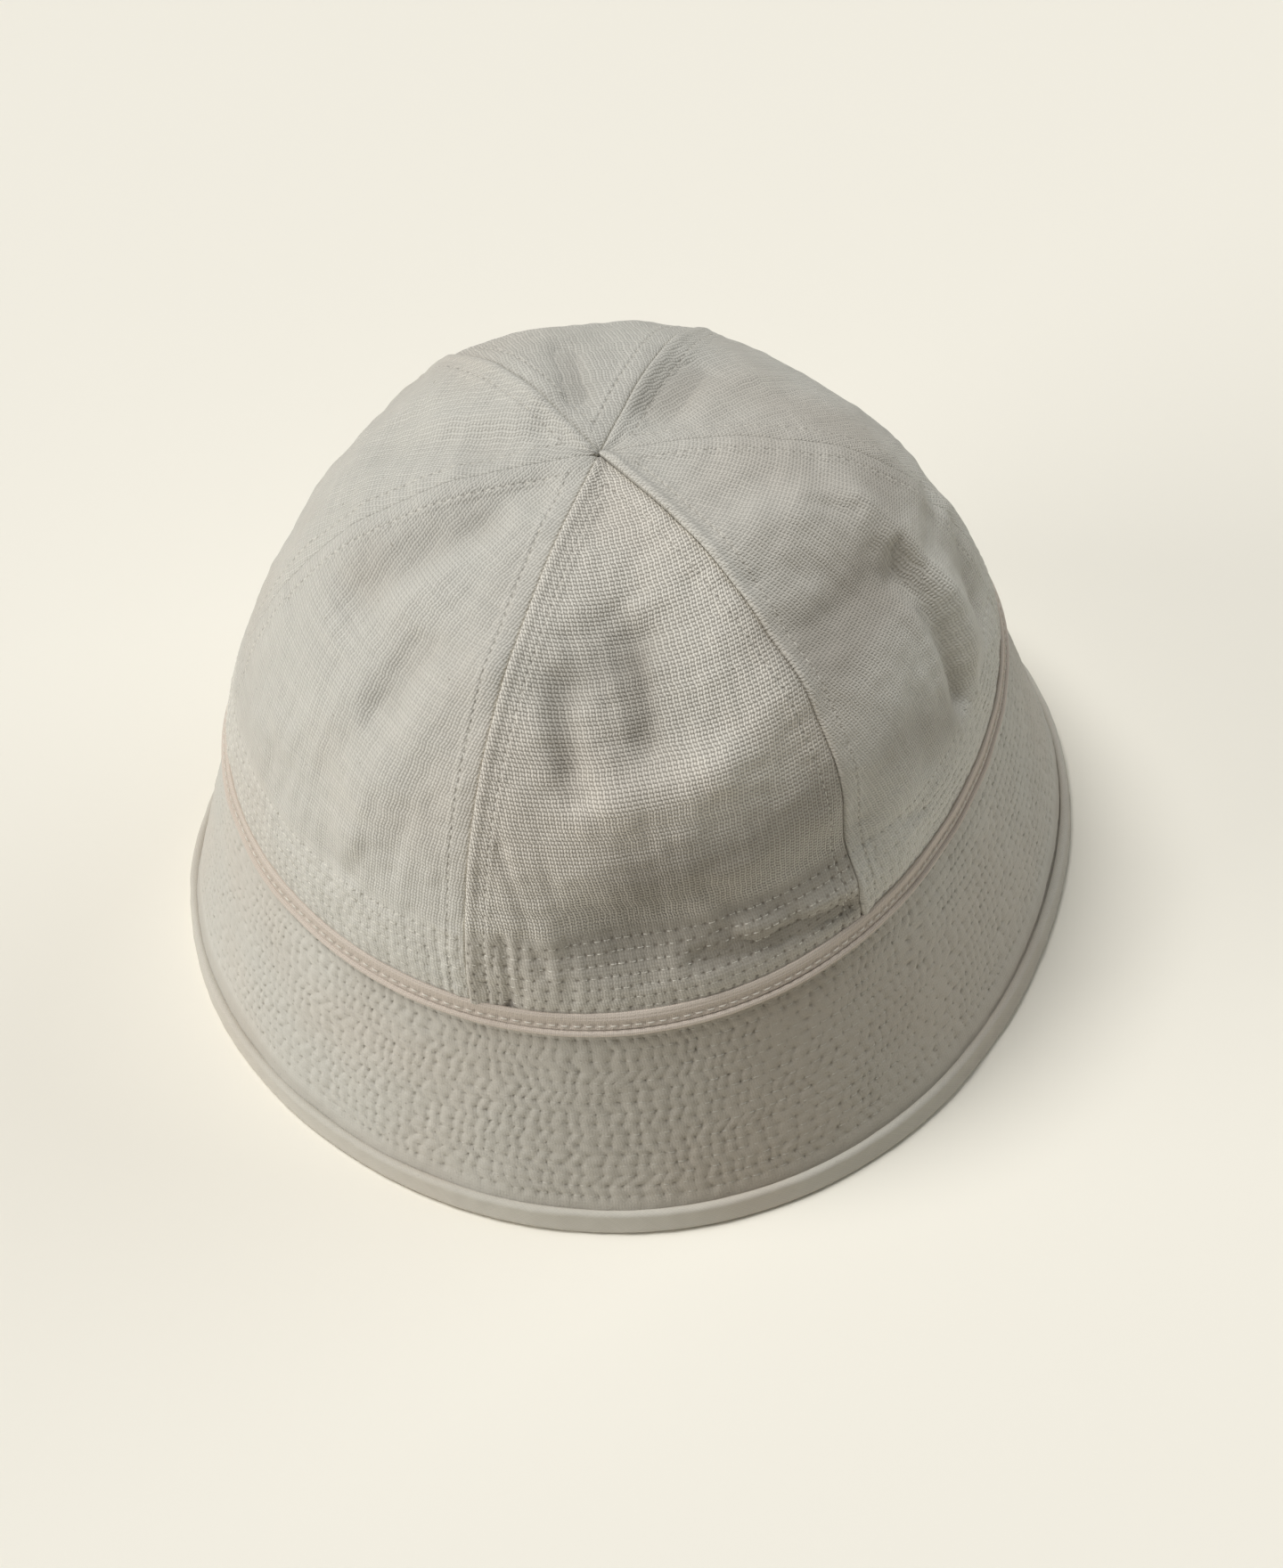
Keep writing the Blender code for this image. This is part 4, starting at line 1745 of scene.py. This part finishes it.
def smooth_loop(loop: Profile, straight: int, parts: int = 2) -> Array:
    """A closed section with rounded runs.

    Args:
        loop: The section's points.
        straight: How many of the last points are joined by straight runs.
        parts: How many pieces each rounded run is cut into.

    Returns:
        The section's points in metres, one row each, the first repeated at the end.
    """
    known = np.array(loop) * MM
    last = len(known) - 1
    rows = []
    for index, here in enumerate(known):
        if index > last - straight:
            rows.append(here)
            continue
        there = known[(index + 1) % len(known)]
        before, after = known[max(index - 1, 0)], known[min(index + 2, last)]
        for part in np.arange(parts) / parts:
            rows.append(between(here, there, (there - before) / 2, (after - here) / 2, part))
    return np.array([*rows, known[0]])


def strip_grid(loop: Profile, straight: int, columns: int) -> list[Array]:
    """The grid of a strip that runs round the hat and whose section is a closed loop.

    Args:
        loop: The section's points.
        straight: How many of the last points are joined by straight runs.
        columns: How many columns go round.

    Returns:
        The points' turns, reaches along the slope, heights out from it, and lengths round the section.
    """
    section = smooth_loop(loop, straight)
    step = np.linalg.norm(np.diff(section, axis=0), axis=1)
    girth = np.concatenate([[0], np.cumsum(step)])
    turn = np.linspace(0, TURN, columns + 1)[None, :]
    return np.broadcast_arrays(turn, *(values[:, None] for values in (*section.T, girth)))


@dataclass
class JoinTape:
    """The narrow tape over the join, with a row of stitches and a rolled lower edge."""

    material: bpy.types.Material
    thread: bpy.types.Material
    columns: int = 960
    row_drop: float = 1.8 * MM
    row_out: float = 1.0 * MM
    pull: float = 0.25 * MM
    hole_size: float = 0.7 * MM
    uneven: Ripple = Ripple(20 * MM, 0.10 * MM, 31)
    face: tuple[float, float] = (0.4 * MM, 1.0 * MM)
    thread_lift: float = 0.04 * MM
    turn_ahead: float = 0.01
    dash: float = 1.7 * MM
    straight: int = 1
    loop: Profile = (
        *((-0.60, -0.30), (-0.78, 0.20), (-0.62, 0.72), (-0.20, 1.02), (0.35, 1.00), (0.75, 0.80)),
        *((1.30, 0.76), (1.80, 0.76), (2.40, 0.80), (2.90, 0.82), (3.15, 0.55), (3.35, 0.55)),
        *((3.55, 1.02), (4.00, 1.34), (4.50, 1.32), (4.95, 1.00), (5.25, 0.45), (5.20, -0.20)),
    )

    def surface(self, turn: Array, drop: Array, out: Array) -> Array:
        """Points of the tape, with its slight waviness and the pull of its stitches.

        Args:
            turn: Turns round the hat.
            drop: Distances down the slope from the join line.
            out: Heights out from the slope.

        Returns:
            The points.
        """
        along = HAT.below_join(turn, drop)
        phase = BAND_ROWS.even_phase(turn)
        hole = bump_shape((phase - np.round(phase)) * BAND_ROWS.stitch, self.hole_size)
        pull = hole * bump_shape(drop - self.row_drop, self.hole_size)
        wave = self.uneven.over(HAT.point(turn, along))
        face = ramp(out, *self.face)
        return HAT.point(turn, along, out - face * (self.pull * pull) + wave * face)

    def build(self) -> None:
        """Builds and dresses the tape and its stitches."""
        turn, drop, out, girth = strip_grid(self.loop, self.straight, self.columns)
        radius = (HAT.head_half_width + HAT.head_half_depth) / 2
        row = (drop - self.row_drop) / BAND_ROWS.pitch
        maps = {"weave": pairs(turn * radius, girth), "rows": pairs(BAND_ROWS.even_phase(turn), row)}
        cloth = Cloth(self.surface(turn, drop, out), maps, True, True)
        dress(MeshMaker.tube("join_tape_sewn", cloth), "join_tape", self.material, "join_tape")
        count = BAND_ROWS.round_count
        turn = (np.arange(count) + 0.5) * TURN / count
        along = HAT.below_join(turn, self.row_drop)
        middle = self.surface(turn, np.full(count, self.row_drop), np.full(count, self.row_out))
        lift = HAT.normal(turn, along)
        run = HAT.heading(turn, along, turn + self.turn_ahead, along)
        middle = middle + lift * self.thread_lift
        stitches = Thread(self.dash).dashes("stitches_tape", middle, run, lift)
        dress(stitches, "join_tape", self.thread)


@dataclass
class EdgeBinding:
    """The strip that is folded round the brim's edge, on which the hat rests."""

    material: bpy.types.Material
    columns: int = 720
    uneven: tuple[Ripple, ...] = (Ripple(26 * MM, 0.12 * MM, 41), Ripple(6 * MM, 0.05 * MM, 42))
    face: tuple[float, float] = (0.5 * MM, 1.1 * MM)
    straight: int = 3
    loop: Profile = (
        *((7.15, -0.30), (7.40, 0.35), (7.30, 1.05), (6.85, 1.60), (6.15, 1.75), (5.30, 1.60)),
        *((4.20, 1.42), (3.10, 1.28), (2.10, 1.24), (1.30, 1.12), (0.65, 0.80), (0.15, 0.25)),
        *((-0.40, -0.30), (-1.20, -1.20), (-0.60, -2.10), (0.40, -2.90), (1.30, -3.40)),
        *((2.60, -3.68), (4.60, -3.70), (6.60, -3.70), (7.10, -3.30)),
        *((7.10, -2.70), (1.60, -2.70), (1.60, 0.30)),
    )

    def build(self) -> None:
        """Builds and dresses the binding, whose cloth is cut on the bias."""
        turn, height, out, girth = strip_grid(self.loop, self.straight, self.columns)
        along = HAT.above_edge(turn, height)
        wave = waviness(self.uneven, HAT.point(turn, along))
        points = HAT.point(turn, along, out + wave * ramp(out, *self.face))
        points[..., 2] = np.maximum(points[..., 2], 0)
        around = turn * ((HAT.head_half_width + HAT.head_half_depth) / 2 + HAT.brim_flare)
        bias = math.sqrt(0.5)
        maps = {"weave": pairs((around + girth) * bias, (girth - around) * bias)}
        piece = MeshMaker.tube("bound_edge", Cloth(points, maps, True, True))
        dress(piece, "edge_binding", self.material, "edge_binding")


# ---------------------------------------------------------------------------------------------
# The room.


def bearing(azimuth_deg: float, elevation_deg: float) -> Vector:
    """The direction at an angle round from +Y towards +X and an angle up from level.

    Args:
        azimuth_deg: The angle round.
        elevation_deg: The angle up.

    Returns:
        A direction of length one.
    """
    azimuth, elevation = math.radians(azimuth_deg), math.radians(elevation_deg)
    flat = math.cos(elevation)
    return Vector((math.sin(azimuth) * flat, math.cos(azimuth) * flat, math.sin(elevation)))


@dataclass(frozen=True)
class Lamp:
    """A far soft light: where it stands round and above the hat, its strength, spread and colour."""

    name: str
    azimuth_deg: float
    elevation_deg: float
    strength: float
    spread_deg: float
    colour: Colour = (1.0, 1.0, 1.0)

    def hang(self) -> None:
        """Hangs the lamp, which shines on the hat from its side."""
        light = bpy.data.lights.new(self.name, "SUN")
        light.energy = self.strength
        light.angle = math.radians(self.spread_deg)
        light.color = self.colour
        body = bpy.data.objects.new(self.name, light)
        body.location = bearing(self.azimuth_deg, self.elevation_deg)
        body.rotation_euler = body.location.to_track_quat("Z", "Y").to_euler()
        bpy.context.scene.collection.objects.link(body)


@dataclass(frozen=True)
class Studio:
    """A pale floor, a screen round it, soft light and the camera."""

    floor_colour: Colour = (246, 241, 228)
    floor_half: float = 12.0
    floor_drop: float = 0.1 * MM
    screen_colour: Colour = (240, 236, 224)
    screen_radius: float = 11.5
    screen_height: float = 9.0
    screen_sides: int = 96
    sky: Colour = (1.0, 1.0, 1.0)
    sky_strength: float = 0.03
    lamps: tuple[Lamp, ...] = (
        Lamp("key_light", -66, 72, 2.26, 28),
        Lamp("raking_light", -100, 14, 1.45, 40),
        Lamp("right_fill", 78, 34, 0.72, 40, (0.92, 0.97, 1.0)),
    )
    aim: tuple[float, float, float] = (0.00087, -0.02812, 0.07)
    distance: float = 0.75
    elevation_deg: float = 51.467
    azimuth_deg: float = 4.693
    roll_deg: float = -5.299
    lens: float = 69.85
    sensor_width: float = 36.0
    clip: tuple[float, float] = (0.01, 100.0)

    def build(self) -> None:
        """Builds the floor, the screen, the lights and the camera."""
        scene = bpy.context.scene
        scene.view_settings.view_transform = "Standard"
        self.lay_floor()
        self.raise_screen()
        world = bpy.data.worlds.new("studio_air")
        world.use_nodes = True
        air = world.node_tree.nodes["Background"]
        air.inputs["Color"].default_value = (*self.sky, 1.0)
        air.inputs["Strength"].default_value = self.sky_strength
        scene.world = world
        for lamp in self.lamps:
            lamp.hang()
        self.set_camera()

    @staticmethod
    def sheet(name: str, points: list[Any], faces: list[Any], looks: dict[str, Any]) -> bpy.types.Object:
        """A plain surface of the room.

        Args:
            name: Its name.
            points: Its corners.
            faces: Its faces' corner numbers.
            looks: What its surface shader is set to, by name.

        Returns:
            The new object.
        """
        mesh = bpy.data.meshes.new(name)
        mesh.from_pydata(points, [], faces)
        mesh.materials.append(Shader(name + "_paper").finish({"Specular IOR Level": 0.0, **looks}))
        sheet = bpy.data.objects.new(name, mesh)
        bpy.context.scene.collection.objects.link(sheet)
        return sheet

    def lay_floor(self) -> None:
        """Lays the plain floor."""
        half, low = self.floor_half, -self.floor_drop
        points = [(-half, -half, low), (half, -half, low), (half, half, low), (-half, half, low)]
        looks = {"Base Color": paint(self.floor_colour), "Roughness": 1.0}
        floor = self.sheet("floor", points, [(0, 1, 2, 3)], looks)

    def raise_screen(self) -> None:
        """Raises a plain screen round the floor, which neither lights the hat nor shades it."""
        sides = self.screen_sides
        angles = np.arange(sides) * TURN / sides
        ring = (pairs(np.cos(angles), np.sin(angles)) * self.screen_radius).tolist()
        points = [(x, y, height) for height in (-self.floor_drop, self.screen_height) for x, y in ring]
        faces = [(i, (i + 1) % sides, sides + (i + 1) % sides, sides + i) for i in range(sides)]
        glow = {"Emission Color": paint(self.screen_colour), "Emission Strength": 1.0}
        screen = self.sheet("screen", points, faces, {"Base Color": (0.0, 0.0, 0.0, 1.0), **glow})
        for kind in ("diffuse", "glossy", "transmission", "volume_scatter", "shadow"):
            setattr(screen, "visible_" + kind, False)

    def set_camera(self) -> None:
        """Sets the camera at the photograph's viewing angle."""
        forward = bearing(self.azimuth_deg, -self.elevation_deg)
        azimuth, roll = math.radians(self.azimuth_deg), math.radians(self.roll_deg)
        level = Vector((math.cos(azimuth), -math.sin(azimuth), 0.0))
        upright = level.cross(forward)
        right = level * math.cos(roll) + upright * math.sin(roll)
        up = upright * math.cos(roll) - level * math.sin(roll)
        view = bpy.data.cameras.new("camera")
        view.lens = self.lens
        view.sensor_width = self.sensor_width
        view.clip_start, view.clip_end = self.clip
        camera = bpy.data.objects.new("camera", view)
        turned = Matrix((right, up, -forward)).transposed().to_4x4()
        camera.matrix_world = Matrix.Translation(Vector(self.aim) - forward * self.distance) @ turned
        bpy.context.scene.collection.objects.link(camera)
        bpy.context.scene.camera = camera


def corners(bounds: tuple[Vector, Vector]) -> list[list[float]]:
    """A box's two corners as plain lists of numbers."""
    return [[float(value) for value in corner] for corner in bounds]


def main() -> None:
    """Builds the hat piece by piece, then the room round it."""
    logging.basicConfig(level=logging.INFO, format="%(name)s: %(message)s")
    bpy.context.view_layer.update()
    cloth = {key: finish.material() for key, finish in FINISHES.items()}
    thread = CROWN_THREAD.material()
    # The front gore gets painted shade across its sewn band.
    front = {"crumpled": 1.2, "band_shade": 0.85, "sunk": 0.13 * MM}
    for seam in SEAMS:
        if seam.gore == "front":
            gore = Gore(seam.gore, cloth["front"], thread, **front)
        else:
            gore = Gore(seam.gore, cloth["side"], thread)
        gore.build()
    Brim(cloth["brim"], BRIM_THREAD.material()).build()
    JoinTape(cloth["tape"], thread).build()
    EdgeBinding(cloth["binding"]).build()
    Studio().build()


if __name__ == "__main__":
    main()
